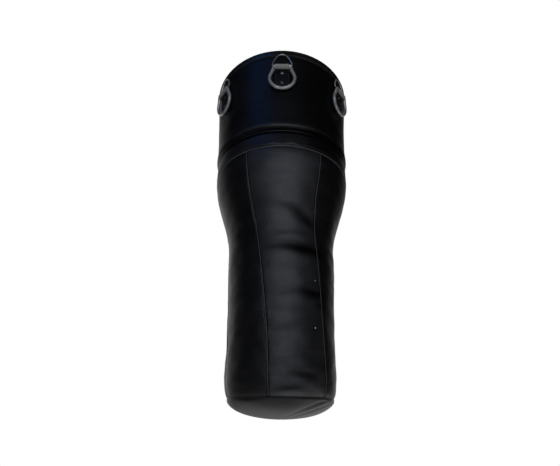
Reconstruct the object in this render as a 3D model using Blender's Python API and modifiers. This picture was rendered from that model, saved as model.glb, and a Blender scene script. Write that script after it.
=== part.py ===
"""Shaped leather punching bag, as separate solids in metres, +Z up.

The origin is on the bag's axis, level with the bars that the D-rings turn on, and the front faces -Y.
Heights named as such are measured up from the foot seam, and level() turns them into world Z.
"""

import math

import bmesh
import bpy
from mathutils import Matrix, Vector

# Clearances
TOUCH_GAP = 0.0003
SKIN_GAP = 0.0005
BAR_CLEARANCE = 0.0006
EYE_CLEARANCE = 0.0007
FILLING_CLEARANCE = 0.0016
CUT_OVERRUN = 0.004

# Heights along the bag
PANEL_HEIGHT = 0.643
BAND_HEIGHT = 0.052
CUFF_HEIGHT = 0.305
HANGING_DEPTH = 0.083
FOOT_DEPTH = 0.047
FOOT_TURN_HEIGHT = 0.060
BARREL_LOW_HEIGHT = 0.120
BARREL_HIGH_HEIGHT = 0.420
SWELL_LOW_HEIGHT = 0.390

# Radii of the leather's outside
RIM_RADIUS = 0.2262
CUFF_FOOT_RADIUS = 0.2108
SHOULDER_RADIUS = 0.2095
WAIST_RADIUS = 0.1557
FOOT_RADIUS = 0.1463
FOOT_SEAM_RADIUS = 0.1365
FOOT_TUCK = 0.0030

# Leather, foam and seams
LEATHER = 0.0025
SEAM_DIP = 0.0020
PANEL_CROWN = 0.0008
SEAM_TURN_HEIGHT = 0.006
HEM_ROLL = 0.0016
HEM_HEIGHT = 0.024
BAND_DIP = 0.0026
BAND_TONGUE = 0.010
WELT_RADIUS = 0.0016
PAD_TOP_HEIGHT = 0.0115

# Panels: how many, and how far their seams drift round the barrel
PANEL_COUNT = 6
PANEL_START_ANGLE = math.radians(1.6)
DRIFT_ANGLE = math.radians(17.0)
DRIFT_TOP_HEIGHT = 0.520
DRIFT_POWER = 1.3
CUFF_FLARE_POWER = 1.15

# Rim binding
BINDING = 0.0020
BINDING_OUTER_LEG = 0.024
BINDING_INNER_LEG = 0.0125
BINDING_EDGE_RADIUS = 0.0014

# Top cover and zip
COVER_THICKNESS = 0.0030
ZIP_LENGTH = 0.300
ZIP_SLOT = 0.0140
TAPE_THICKNESS = 0.0012
TAPE_OVERLAP = 0.0090
TEETH_WIDTH = 0.0030
TEETH_HEIGHT = 0.0018
SLIDER_LENGTH = 0.0160
SLIDER_WIDTH = 0.0110
SLIDER_NOSE_WIDTH = 0.0070
SLIDER_PLATE = 0.0014
BRIDGE_LENGTH = 0.0100
BRIDGE_WIDTH = 0.0030
BRIDGE_METAL = 0.0016
BRIDGE_ROOM = 0.0030
PULL_LENGTH = 0.0340
PULL_WIDTH = 0.0090
PULL_THICKNESS = 0.0016
PULL_BAR = 0.0020
PULL_WINDOW = 0.0070
PULL_CORNER = 0.0020

# Hangers
HANGER_ANGLES = tuple(math.radians(a) for a in (0, 54, 126, 180, 234, 306))
BAR_STANDOFF = 0.0140
RING_WIRE = 0.0100
RING_HALF_WIDTH = 0.0375
RING_NECK_HALF_WIDTH = 0.0262
RING_WIDEST_DROP = 0.0395
RING_DROP = 0.0750
RING_REST_GAP = 0.00259707
RING_POWER = 1.0
RING_CORNER = 0.0045
LOOP_WIRE = 0.0045
LOOP_HALF_WIDTH = 0.0304
LOOP_HEIGHT = 0.0500
LOOP_POWER = 1.6
LOOP_CORNER = 0.0050
LOOP_RISE = 0.0120
LOOP_SETBACK = 0.0040
STRAP_WIDTH = 0.0420
STRAP_THICKNESS = 0.0016
STRAP_THROAT_DROP = 0.0085
STRAP_LEG_DROP = 0.0520
TAB_WIDTH = 0.0460
TAB_THICKNESS = 0.0030
TAB_TOP_DROP = 0.0098
TAB_LENGTH = 0.0560
RIVET_HEAD_RADIUS = 0.0055
RIVET_HEAD_HEIGHT = 0.0020
RIVET_SHANK_RADIUS = 0.0020
RIVET_DROPS = {"upper": 0.0150, "lower": 0.0520}

# Facets
LATHE_STEPS = 40
FILLING_STEPS = 32
RIVET_STEPS = 8
WELT_SIDES = 4
RIVET_HOLE_SIDES = 8
TAB_END_SIDES = 6
RING_FLANK_SHARES = (0.2, 0.4, 0.6, 0.8)
RING_POINTS = 13
LOOP_POINTS = 13
ARC_STEP = math.radians(30.0)

PANEL_ROW_SHARES = (0.0, 0.015, 0.045, 0.09, 0.22, 0.36, 0.5, 0.62, 0.7, 0.77, 0.83, 0.89, 0.95, 0.99, 1.0)
PANEL_COLUMN_SHARES = (-1.0, -0.88, -0.46, 0.0, 0.46, 0.88, 1.0)
CUFF_ROW_SHARES = (1.0, 0.66, 0.33, 0.085, 0.05, 0.02, 0.0)
BAND_ROW_SHARES = (1.0, 0.88, 0.5, 0.1, 0.0)
FILLING_ROW_SHARES = (1.0, 0.88, 0.8, 0.72, 0.64, 0.48, 0.3, 0.1, 0.0)
CAP_ROW_SHARES = (0.0, 0.2, 0.42, 0.64, 0.84, 1.0)

SHOULDER_HEIGHT = PANEL_HEIGHT
HEM_LEVEL_HEIGHT = SHOULDER_HEIGHT + BAND_HEIGHT
RIM_HEIGHT = HEM_LEVEL_HEIGHT + CUFF_HEIGHT
BAR_HEIGHT = RIM_HEIGHT - HANGING_DEPTH


def level(height):
    """World Z of a height above the foot seam."""
    return height - BAR_HEIGHT


def ease(value, low, high):
    """Smooth step from 0 at low to 1 at high."""
    t = min(max((value - low) / (high - low), 0.0), 1.0)
    return t * t * (3.0 - 2.0 * t)


def panel_radius(height):
    """Outside radius of the barrel at the crown of a panel."""
    radius = FOOT_RADIUS
    radius += (WAIST_RADIUS - FOOT_RADIUS) * ease(height, BARREL_LOW_HEIGHT, BARREL_HIGH_HEIGHT)
    radius += (SHOULDER_RADIUS - WAIST_RADIUS) * ease(height, SWELL_LOW_HEIGHT, SHOULDER_HEIGHT)
    if height < FOOT_TURN_HEIGHT:
        rest = 1.0 - max(height, 0.0) / FOOT_TURN_HEIGHT
        radius -= (FOOT_RADIUS - FOOT_SEAM_RADIUS + FOOT_TUCK) * (1.0 - math.sqrt(1.0 - rest * rest))
    return radius


def cuff_radius(height):
    """Outside radius of the flared cuff, without its hem roll."""
    t = min(max((height - HEM_LEVEL_HEIGHT) / CUFF_HEIGHT, 0.0), 1.0)
    return CUFF_FOOT_RADIUS + (RIM_RADIUS - CUFF_FOOT_RADIUS) * t**CUFF_FLARE_POWER


def seam_drift(height):
    """Angle by which the panel seams have drifted round at a height."""
    t = min(max((DRIFT_TOP_HEIGHT - height) / DRIFT_TOP_HEIGHT, 0.0), 1.0)
    return PANEL_START_ANGLE + DRIFT_ANGLE * math.sin(0.5 * math.pi * t) ** DRIFT_POWER


def filling_radius(height):
    """Outside radius of the filling, which clears the flats of the faceted leather round it."""
    if height > HEM_LEVEL_HEIGHT + BAND_TONGUE + TOUCH_GAP:
        skin = cuff_radius(height)
    elif height > SHOULDER_HEIGHT - TOUCH_GAP - SEAM_TURN_HEIGHT:
        skin = SHOULDER_RADIUS - BAND_DIP - SEAM_DIP
    else:
        skin = panel_radius(height) - SEAM_DIP
    return (skin - LEATHER) * math.cos(math.pi / LATHE_STEPS) - FILLING_CLEARANCE


def clear_scene():
    """Empties the file of objects."""
    for old in list(bpy.data.objects):
        bpy.data.objects.remove(old, do_unlink=True)


def make_collection(name):
    """A new collection under the scene's own."""
    collection = bpy.data.collections.new(name)
    bpy.context.scene.collection.children.link(collection)
    return collection


def make_material(name, color, roughness, metallic=0.0):
    """A Principled material of one colour."""
    material = bpy.data.materials.new(name)
    material.use_nodes = True
    shader = material.node_tree.nodes["Principled BSDF"]
    shader.inputs["Base Color"].default_value = (*color, 1.0)
    shader.inputs["Roughness"].default_value = roughness
    shader.inputs["Metallic"].default_value = metallic
    material.diffuse_color = (*color, 1.0)
    return material


def add_object(name, data, material, collection):
    """Links a new object with one material."""
    obj = bpy.data.objects.new(name, data)
    data.materials.append(material)
    collection.objects.link(obj)
    return obj


def shade(mesh, angle=math.radians(40.0)):
    """Smooth shading with sharp edges past an angle."""
    mesh.shade_smooth()
    mesh.set_sharp_from_angle(angle=angle)


def lathe(name, profile, closed, material, collection, steps=LATHE_STEPS):
    """Turns a profile of (radius, z) points about Z; it runs down the outer side."""
    mesh = bpy.data.meshes.new(name)
    bm = bmesh.new()
    verts = [bm.verts.new((radius, 0.0, z)) for radius, z in profile]
    pairs = zip(verts, verts[1:] + verts[:1]) if closed else zip(verts, verts[1:])
    for first, second in pairs:
        bm.edges.new((first, second))
    bm.to_mesh(mesh)
    bm.free()
    obj = add_object(name, mesh, material, collection)
    screw = obj.modifiers.new("Turn", "SCREW")
    screw.axis = "Z"
    screw.angle = 2.0 * math.pi
    screw.steps = steps
    screw.render_steps = steps
    screw.use_merge_vertices = True
    screw.merge_threshold = 0.00001
    screw.use_smooth_shade = True
    return obj


def build_panels(material, collection):
    """The six tall leather panels between the foot seam and the shoulder seam."""
    low = WELT_RADIUS + TOUCH_GAP
    high = SHOULDER_HEIGHT - TOUCH_GAP
    heights = [low + (high - low) * share for share in PANEL_ROW_SHARES]
    columns, rows = len(PANEL_COLUMN_SHARES), len(heights)
    pitch = 2.0 * math.pi / PANEL_COUNT
    for index in range(PANEL_COUNT):
        mesh = bpy.data.meshes.new(f"lower_panel_{index + 1}")
        bm = bmesh.new()
        bmesh.ops.create_grid(bm, x_segments=columns - 1, y_segments=rows - 1, size=1.0)
        for vert in bm.verts:
            column = round((vert.co.x + 1.0) / 2.0 * (columns - 1))
            row = round((vert.co.y + 1.0) / 2.0 * (rows - 1))
            share, height = PANEL_COLUMN_SHARES[column], heights[row]
            radius = panel_radius(height) - PANEL_CROWN * share * share
            if abs(share) == 1.0:
                radius -= SEAM_DIP - PANEL_CROWN
            turn = 1.0 - min((SHOULDER_HEIGHT - height) / SEAM_TURN_HEIGHT, 1.0)
            radius -= BAND_DIP * turn
            half = 0.5 * (pitch - TOUCH_GAP / radius)
            angle = pitch * index + seam_drift(height) + share * half
            vert.co = (radius * math.sin(angle), -radius * math.cos(angle), level(height))
        bm.to_mesh(mesh)
        bm.free()
        shade(mesh)
        panel = add_object(mesh.name, mesh, material, collection)
        wall = panel.modifiers.new("Leather", "SOLIDIFY")
        wall.thickness = LEATHER
        wall.offset = -1.0


def build_cuff(material, collection):
    """The flared cuff, with the turned hem at its lower edge."""
    low = HEM_LEVEL_HEIGHT
    high = RIM_HEIGHT - BINDING - TOUCH_GAP
    outer = []
    for share in CUFF_ROW_SHARES:
        height = low + (high - low) * share
        inside_hem = max(0.0, 1.0 - (height - low) / HEM_HEIGHT)
        outer.append((cuff_radius(height) + HEM_ROLL * math.sin(math.pi * inside_hem), level(height)))
    walls = [cuff_radius(low + (high - low) * share) - LEATHER for share in CUFF_ROW_SHARES]
    inner = [(wall, z) for wall, (_, z) in zip(walls, outer)]
    return lathe("upper_cuff", outer + inner[::-1], True, material, collection)


def build_band(material, collection):
    """The shoulder band, tucked in at both edges, with a tongue that runs up behind the cuff's hem."""
    low = SHOULDER_HEIGHT
    high = HEM_LEVEL_HEIGHT - TOUCH_GAP
    tongue = HEM_LEVEL_HEIGHT + BAND_TONGUE
    outer = [(cuff_radius(tongue) - LEATHER - SKIN_GAP, level(tongue))]
    for share in BAND_ROW_SHARES:
        crown = math.sin(math.pi * share) ** 0.5 if 0.0 < share < 1.0 else 0.0
        radius = SHOULDER_RADIUS - BAND_DIP * (1.0 - crown)
        outer.append((radius, level(low + (high - low) * share)))
    inner = [(radius - LEATHER, z) for radius, z in outer]
    return lathe("shoulder_band", outer + inner[::-1], True, material, collection)


def build_rim_binding(material, collection):
    """The strip folded over the cuff's top edge, with a flat top."""
    outside = cuff_radius(RIM_HEIGHT) + SKIN_GAP + BINDING
    inside = cuff_radius(RIM_HEIGHT) - LEATHER - SKIN_GAP - BINDING
    top = level(RIM_HEIGHT)
    outer_low = RIM_HEIGHT - BINDING_OUTER_LEG
    inner_low = RIM_HEIGHT - BINDING_INNER_LEG
    follow = cuff_radius(RIM_HEIGHT) - cuff_radius(outer_low)
    follow_in = cuff_radius(RIM_HEIGHT) - cuff_radius(inner_low)
    edge = BINDING_EDGE_RADIUS
    fold = RIM_HEIGHT - BINDING
    profile = [
        (inside + edge, top),
        (outside - edge, top),
        (outside - edge * 0.3, top - edge * 0.3),
        (outside, top - edge),
        (outside - follow, level(outer_low)),
        (outside - BINDING - follow, level(outer_low)),
        (outside - BINDING, level(fold)),
        (inside + BINDING, level(fold)),
        (inside + BINDING - follow_in, level(inner_low)),
        (inside - follow_in, level(inner_low)),
        (inside, top - edge),
        (inside + edge * 0.3, top - edge * 0.3),
    ]
    return lathe("rim_binding", profile, True, material, collection)


def build_foot(leather, foam, collection):
    """The welt in the foot seam, the domed cap and the foam pad inside it."""
    welt_radius = FOOT_SEAM_RADIUS - 0.5 * LEATHER
    ring = []
    for index in range(WELT_SIDES):
        angle = -2.0 * math.pi * index / WELT_SIDES
        ring.append((welt_radius + WELT_RADIUS * math.cos(angle), level(WELT_RADIUS * math.sin(angle))))
    lathe("foot_welt", ring, True, leather, collection)

    edge = -WELT_RADIUS - TOUCH_GAP
    outer = dome_profile(FOOT_SEAM_RADIUS, edge, -FOOT_DEPTH)
    inner = dome_profile(FOOT_SEAM_RADIUS - LEATHER, edge, LEATHER - FOOT_DEPTH)
    lathe("foot_cap", inner[::-1] + outer, False, leather, collection)

    inset = LEATHER + WELT_RADIUS + FILLING_CLEARANCE
    pad = dome_profile(FOOT_SEAM_RADIUS - inset, edge, inset - FOOT_DEPTH)
    top = [(0.0, level(PAD_TOP_HEIGHT)), (pad[0][0], level(PAD_TOP_HEIGHT))]
    lathe("foot_pad", top + pad, False, foam, collection, FILLING_STEPS)


def dome_profile(radius, high, low):
    """Points down a dome from its rim, at one height, to its pole at another."""
    points = []
    for share in CAP_ROW_SHARES:
        angle = 0.5 * math.pi * share
        across = radius * math.cos(angle) if share < 1.0 else 0.0
        points.append((across, level(high + (low - high) * math.sin(angle))))
    return points


def build_filling(material, collection):
    """The filling, which backs the leather from the top cover down to the pad in the foot."""
    low = PAD_TOP_HEIGHT + TOUCH_GAP
    high = RIM_HEIGHT - BINDING_INNER_LEG - COVER_THICKNESS - TAPE_THICKNESS - 3.0 * TOUCH_GAP
    tongue = HEM_LEVEL_HEIGHT + BAND_TONGUE
    heights = [high, 0.5 * (high + tongue), tongue + HEM_HEIGHT, tongue + 2.0 * TOUCH_GAP, tongue]
    heights += [low + (SHOULDER_HEIGHT - low) * share for share in FILLING_ROW_SHARES]
    profile = [(0.0, level(high))]
    profile += [(filling_radius(height), level(height)) for height in heights]
    profile.append((0.0, level(low)))
    lathe("filling", profile, False, material, collection, FILLING_STEPS)


def flat_outline(name, loops, thickness, material, collection):
    """A flat plate from closed loops of (x, y) points; the first is the rim, the others are holes."""
    curve = bpy.data.curves.new(name, "CURVE")
    curve.dimensions = "2D"
    curve.fill_mode = "BOTH"
    curve.extrude = 0.5 * thickness
    for loop in loops:
        spline = curve.splines.new("POLY")
        spline.points.add(len(loop) - 1)
        for point, (x, y) in zip(spline.points, loop):
            point.co = (x, y, 0.0, 1.0)
        spline.use_cyclic_u = True
    return add_object(name, curve, material, collection)


def tube(name, points, diameter, sides_resolution, material, collection):
    """A closed round wire through a loop of points."""
    curve = bpy.data.curves.new(name, "CURVE")
    curve.dimensions = "3D"
    curve.bevel_depth = 0.5 * diameter
    curve.bevel_resolution = sides_resolution
    spline = curve.splines.new("POLY")
    spline.points.add(len(points) - 1)
    for point, place in zip(spline.points, points):
        point.co = (*place, 1.0)
    spline.use_cyclic_u = True
    return add_object(name, curve, material, collection)


def bow_points(neck, half_width, widest, reach, power, corner, count):
    """Points of a bow that stands on a straight bar: (across, along) from the bar's centre.

    The bow widens from neck at the bar to half_width at the depth named widest, and closes at reach in an
    arc that is an ellipse at power 1 and narrower above it.
    """
    side = []
    if widest > 0.0:
        side = [(neck + (half_width - neck) * ease(s, 0.0, 1.0), widest * s) for s in RING_FLANK_SHARES]
    arc = []
    for index in range(count):
        angle = math.pi * index / (count - 1)
        along = widest + (reach - widest) * max(0.0, math.sin(angle)) ** power
        arc.append((half_width * math.cos(angle), along))
    bow = side + arc + [(-across, along) for across, along in reversed(side)]
    bow = [place for place in bow if place[1] > corner]
    turn_in, turn_out = (neck - corner, 0.0), bow[0]
    middle = tuple(0.25 * a + 0.5 * b + 0.25 * c for a, b, c in zip(turn_in, (neck, 0.0), turn_out))
    return [turn_in, middle] + bow + [(-middle[0], middle[1]), (-turn_in[0], 0.0)]


def two_bar_outline(first, first_radius, second, second_radius):
    """The closed outline drawn tight round two circles, anticlockwise from the first one's far side."""
    across, up = second[0] - first[0], second[1] - first[1]
    distance = math.hypot(across, up)
    heading = math.atan2(up, across)
    spread = math.acos((first_radius - second_radius) / distance)
    points = []
    for centre, radius, start, sweep in (
        (first, first_radius, heading + spread, 2.0 * (math.pi - spread)),
        (second, second_radius, heading - spread, 2.0 * spread),
    ):
        count = max(2, math.ceil(sweep / ARC_STEP))
        for index in range(count + 1):
            angle = start + sweep * index / count
            points.append((centre[0] + radius * math.cos(angle), centre[1] + radius * math.sin(angle)))
    return points


def hanger_sizes():
    """The bar's radius, how the two bows lean, and the loop's bar, as (out, up) from the D-ring's bar."""
    bar_radius = cuff_radius(BAR_HEIGHT) + BAR_STANDOFF
    ring_in = -cuff_out(-RING_DROP, bar_radius) - RING_REST_GAP - 0.5 * RING_WIRE
    ring_lean = math.asin(ring_in / RING_DROP)
    loop_bar = (-LOOP_SETBACK, LOOP_RISE)
    binding_out = cuff_out(LOOP_RISE + LOOP_HEIGHT, bar_radius) + SKIN_GAP + BINDING
    rest_out = binding_out + TOUCH_GAP + 0.5 * LOOP_WIRE
    lean = math.asin((loop_bar[0] - rest_out) / LOOP_HEIGHT)
    return bar_radius, ring_lean, loop_bar, lean


def cuff_out(up, bar_radius):
    """How far out the cuff's leather stands in a hanger's own plane, at a height from the bar."""
    return cuff_radius(BAR_HEIGHT + up) - bar_radius


def strap_loops(bar_radius, loop_bar):
    """The strap's side view: its outline, and the slot that holds both bars."""
    ring_hole = 0.5 * RING_WIRE + BAR_CLEARANCE
    loop_hole = 0.5 * LOOP_WIRE + BAR_CLEARANCE
    slot = two_bar_outline((0.0, 0.0), ring_hole, loop_bar, loop_hole)
    around = two_bar_outline((0.0, 0.0), ring_hole + STRAP_THICKNESS, loop_bar, loop_hole + STRAP_THICKNESS)
    around = [place for place in around if place[0] > 0.0 or place[1] > 0.0]
    legs = 2.0 * STRAP_THICKNESS
    back = cuff_out(-STRAP_THROAT_DROP, bar_radius) + SKIN_GAP
    foot = cuff_out(-STRAP_LEG_DROP, bar_radius) + SKIN_GAP
    leg = [
        (back, -STRAP_THROAT_DROP),
        (foot, -STRAP_LEG_DROP),
        (foot + legs, -STRAP_LEG_DROP),
        (back + legs, -STRAP_THROAT_DROP),
    ]
    return [around + leg, slot]


def build_hangers(materials, collection):
    """Each hanger: strap, tab, two rivets, D-ring and wire loop."""
    bar_radius, ring_lean, loop_bar, lean = hanger_sizes()
    tab_low = -TAB_TOP_DROP - TAB_LENGTH
    slope = math.atan2(cuff_out(-TAB_TOP_DROP, bar_radius) - cuff_out(tab_low, bar_radius), TAB_LENGTH)
    tab_out = SKIN_GAP + 2.0 * STRAP_THICKNESS + TOUCH_GAP
    ring_sizes = (RING_NECK_HALF_WIDTH, RING_HALF_WIDTH, RING_WIDEST_DROP, RING_DROP)
    ring = bow_points(*ring_sizes, RING_POWER, RING_CORNER, RING_POINTS)
    ring = [(across, 0.0, -along) for across, along in ring]
    loop_sizes = (LOOP_HALF_WIDTH, LOOP_HALF_WIDTH, 0.0, LOOP_HEIGHT)
    loop = bow_points(*loop_sizes, LOOP_POWER, LOOP_CORNER, LOOP_POINTS)
    loop = [(across, 0.0, along) for across, along in loop]
    strap_outline = strap_loops(bar_radius, loop_bar)
    side_view = Matrix(((0, 0, 1, 0), (-1, 0, 0, 0), (0, 1, 0, 0), (0, 0, 0, 1)))
    tilt = Matrix.Rotation(slope, 4, "X") @ Matrix.Rotation(0.5 * math.pi, 4, "X")
    for number, angle in enumerate(HANGER_ANGLES, start=1):
        pivot = bpy.data.objects.new(f"hanger_{number}", None)
        collection.objects.link(pivot)
        pivot.location = (bar_radius * math.sin(angle), -bar_radius * math.cos(angle), 0.0)
        pivot.rotation_euler = (0.0, 0.0, angle)

        name = f"hanger_strap_{number}"
        strap = flat_outline(name, strap_outline, STRAP_WIDTH, materials["webbing"], collection)
        strap.parent = pivot
        strap.matrix_local = side_view

        name = f"hanger_tab_{number}"
        tab = flat_outline(name, tab_loops(), TAB_THICKNESS, materials["leather"], collection)
        tab.parent = pivot
        out = cuff_out(-TAB_TOP_DROP, bar_radius) + tab_out + 0.5 * TAB_THICKNESS
        tab.matrix_local = Matrix.Translation((0.0, -out, -TAB_TOP_DROP)) @ tilt

        for place, drop in RIVET_DROPS.items():
            name = f"{place}_rivet_{number}"
            rivet = lathe(name, rivet_profile(), False, materials["rivet"], collection, RIVET_STEPS)
            rivet.parent = pivot
            face = cuff_out(-drop, bar_radius) + tab_out + TAB_THICKNESS + TOUCH_GAP
            rivet.matrix_local = Matrix.Translation((0.0, -face, -drop)) @ tilt

        d_ring = tube(f"d_ring_{number}", ring, RING_WIRE, 2, materials["steel"], collection)
        d_ring.parent = pivot
        d_ring.matrix_local = Matrix.Rotation(ring_lean, 4, "X")

        wire = tube(f"wire_loop_{number}", loop, LOOP_WIRE, 1, materials["steel"], collection)
        wire.parent = pivot
        at_bar = Matrix.Translation((0.0, -loop_bar[0], loop_bar[1]))
        wire.matrix_local = at_bar @ Matrix.Rotation(-lean, 4, "X")


def tab_loops():
    """The tab's face, hanging down from its top edge to a rounded end, with its two rivet holes."""
    half = 0.5 * TAB_WIDTH
    straight = TAB_LENGTH - half
    outline = [(-half, 0.0), (-half, -straight)]
    for index in range(1, TAB_END_SIDES):
        angle = math.pi + math.pi * index / TAB_END_SIDES
        outline.append((half * math.cos(angle), -straight + half * math.sin(angle)))
    outline += [(half, -straight), (half, 0.0)]
    holes = []
    for drop in RIVET_DROPS.values():
        hole = []
        for index in range(RIVET_HOLE_SIDES):
            angle = 2.0 * math.pi * index / RIVET_HOLE_SIDES
            radius = RIVET_SHANK_RADIUS + BAR_CLEARANCE
            hole.append((radius * math.cos(angle), TAB_TOP_DROP - drop + radius * math.sin(angle)))
        holes.append(hole)
    return [outline] + holes


def rivet_profile():
    """A rivet from its crown to the foot of its shank, which stands in the tab."""
    radius, height = RIVET_HEAD_RADIUS, RIVET_HEAD_HEIGHT
    shank = -TOUCH_GAP - TAB_THICKNESS
    return [
        (0.0, height),
        (radius * 0.6, height * 0.88),
        (radius * 0.92, height * 0.5),
        (radius, 0.0),
        (RIVET_SHANK_RADIUS, 0.0),
        (RIVET_SHANK_RADIUS, shank),
        (0.0, shank),
    ]


def box_between(name, low, high, material, collection):
    """A box between two corners."""
    mesh = bpy.data.meshes.new(name)
    bm = bmesh.new()
    bmesh.ops.create_cube(bm, size=1.0)
    low, high = Vector(low), Vector(high)
    middle, sides = 0.5 * (low + high), high - low
    for vert in bm.verts:
        vert.co = [middle[k] + vert.co[k] * abs(sides[k]) for k in range(3)]
    bm.to_mesh(mesh)
    bm.free()
    return add_object(name, mesh, material, collection)


def cut(obj, tool):
    """Cuts a tool, which stays hidden, out of an object."""
    modifier = obj.modifiers.new("Cut", "BOOLEAN")
    modifier.operation = "DIFFERENCE"
    modifier.solver = "EXACT"
    modifier.object = tool
    tool.hide_render = True
    tool.display_type = "WIRE"


def build_top(materials, collection, cutters):
    """The top cover with its zip: two tapes, the slider and its pull."""
    cover_top = RIM_HEIGHT - BINDING_INNER_LEG - TOUCH_GAP
    cover_low = cover_top - COVER_THICKNESS
    radius = cuff_radius(cover_low) - LEATHER - TOUCH_GAP
    top, low = level(cover_top), level(cover_low)
    profile = [(0.0, top), (radius, top), (radius, low), (0.0, low)]
    cover = lathe("top_cover", profile, False, materials["leather"], collection)
    half_length, half_slot = 0.5 * ZIP_LENGTH, 0.5 * ZIP_SLOT
    slot = box_between(
        "zip_slot_cutter",
        (-half_length, -half_slot, level(cover_low) - CUT_OVERRUN),
        (half_length, half_slot, level(cover_top) + CUT_OVERRUN),
        materials["leather"],
        cutters,
    )
    cut(cover, slot)

    tape_top = cover_low - TOUCH_GAP
    teeth_low = tape_top + TOUCH_GAP
    tape_end = half_length + TAPE_OVERLAP
    teeth_end = half_length - TOUCH_GAP
    inner = 0.5 * TOUCH_GAP
    for side, sign in (("front", -1.0), ("back", 1.0)):
        box_between(
            f"zip_tape_{side}",
            (-tape_end, sign * inner, level(tape_top - TAPE_THICKNESS)),
            (tape_end, sign * (half_slot + TAPE_OVERLAP), level(tape_top)),
            materials["zip"],
            collection,
        )
        box_between(
            f"zip_teeth_{side}",
            (-teeth_end, sign * inner, level(teeth_low)),
            (teeth_end, sign * (inner + TEETH_WIDTH), level(teeth_low + TEETH_HEIGHT)),
            materials["teeth"],
            collection,
        )
    build_slider(materials["steel"], collection, level(teeth_low + TEETH_HEIGHT + TOUCH_GAP))


def build_slider(steel, collection, low):
    """The zip's slider with its bridge, and the pull whose end bar passes under the bridge."""
    place = (SLIDER_LENGTH - 0.5 * ZIP_LENGTH, 0.0, low)
    half, wide, nose = 0.5 * SLIDER_LENGTH, 0.5 * SLIDER_WIDTH, 0.5 * SLIDER_NOSE_WIDTH
    corners = [(-half, -nose), (half, -wide), (half, wide), (-half, nose)]
    slider = flat_outline("zip_slider", [corners], SLIDER_PLATE, steel, collection)
    slider.matrix_world = Matrix.Translation((place[0], place[1], low + 0.5 * SLIDER_PLATE))

    foot, top = SLIDER_PLATE + TOUCH_GAP, SLIDER_PLATE + BRIDGE_ROOM + BRIDGE_METAL
    reach, room = 0.5 * BRIDGE_LENGTH, 0.5 * BRIDGE_LENGTH - BRIDGE_METAL
    under = SLIDER_PLATE + BRIDGE_ROOM
    arch = [(-reach, foot), (-room, foot), (-room, under), (room, under), (room, foot), (reach, foot)]
    arch += [(reach, under), (room, top), (-room, top), (-reach, under)]
    bridge = flat_outline("slider_bridge", [arch], BRIDGE_WIDTH, steel, collection)
    bridge.matrix_world = Matrix(((1, 0, 0, place[0]), (0, 0, -1, 0), (0, 1, 0, low), (0, 0, 0, 1)))

    bar, tip = 0.5 * PULL_BAR, 0.5 * PULL_BAR - PULL_LENGTH
    side, corner = 0.5 * PULL_WIDTH, PULL_CORNER
    far, gap = -bar - PULL_WINDOW, 0.5 * BRIDGE_WIDTH + EYE_CLEARANCE
    rim = [(bar, -side), (bar, side), (tip + corner, side), (tip, side - corner)]
    rim += [(tip, corner - side), (tip + corner, -side)]
    window = [(-bar, -gap), (-bar, gap), (far, gap), (far, -gap)]
    pull = flat_outline("zip_pull", [rim, window], PULL_THICKNESS, steel, collection)
    pull.matrix_world = Matrix.Translation((place[0], 0.0, low + SLIDER_PLATE + 0.5 * BRIDGE_ROOM))


def main():
    """Builds every sub-part."""
    clear_scene()
    bag = make_collection("punching_bag")
    cutters = make_collection("cutters")
    materials = {
        "leather": make_material("black_leather", (0.012, 0.012, 0.014), 0.42),
        "foam": make_material("grey_foam", (0.2, 0.2, 0.21), 0.9),
        "filling": make_material("textile_filling", (0.35, 0.33, 0.3), 0.95),
        "webbing": make_material("grey_webbing", (0.16, 0.17, 0.15), 0.8),
        "steel": make_material("dull_steel", (0.42, 0.42, 0.41), 0.35, 1.0),
        "rivet": make_material("rivet_steel", (0.3, 0.3, 0.3), 0.35, 1.0),
        "zip": make_material("zip_tape", (0.02, 0.02, 0.02), 0.8),
        "teeth": make_material("zip_teeth", (0.03, 0.03, 0.03), 0.4),
    }
    build_panels(materials["leather"], bag)
    build_band(materials["leather"], bag)
    build_cuff(materials["leather"], bag)
    build_rim_binding(materials["leather"], bag)
    build_foot(materials["leather"], materials["foam"], bag)
    build_filling(materials["filling"], bag)
    build_top(materials, bag, cutters)
    build_hangers(materials, bag)


main()
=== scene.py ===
"""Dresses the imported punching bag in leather, thread, webbing and steel, and lights it in a pale studio.

Lengths are metres. The bag's axis is Z, its front faces -Y, and heights named as such are measured up from
the foot seam, which BagForm.level turns into world Z.
"""

from __future__ import annotations

import logging
import math
from collections.abc import Callable, Iterable, Sequence
from dataclasses import dataclass, field
from enum import Enum

import bmesh  # noqa: E402
import bpy  # noqa: E402
from mathutils import Matrix, Vector, noise  # noqa: E402

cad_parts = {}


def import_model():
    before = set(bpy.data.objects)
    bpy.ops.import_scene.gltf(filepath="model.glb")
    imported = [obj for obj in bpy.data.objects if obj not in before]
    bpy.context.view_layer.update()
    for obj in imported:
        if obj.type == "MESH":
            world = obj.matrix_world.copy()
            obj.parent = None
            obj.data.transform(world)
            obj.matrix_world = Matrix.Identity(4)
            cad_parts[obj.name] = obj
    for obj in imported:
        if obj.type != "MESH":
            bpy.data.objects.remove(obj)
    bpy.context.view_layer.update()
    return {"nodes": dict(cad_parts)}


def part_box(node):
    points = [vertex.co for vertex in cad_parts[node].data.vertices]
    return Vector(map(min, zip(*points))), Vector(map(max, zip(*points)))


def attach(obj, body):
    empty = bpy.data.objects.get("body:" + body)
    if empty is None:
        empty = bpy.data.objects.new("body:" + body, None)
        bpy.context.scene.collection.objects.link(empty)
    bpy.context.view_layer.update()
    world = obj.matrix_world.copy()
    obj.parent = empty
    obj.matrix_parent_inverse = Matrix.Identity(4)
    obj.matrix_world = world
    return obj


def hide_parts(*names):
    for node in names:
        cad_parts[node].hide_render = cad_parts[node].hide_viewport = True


Triple = tuple[float, float, float]
Mesh = bpy.types.Mesh
Material = bpy.types.Material
Socket = bpy.types.NodeSocket

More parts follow.
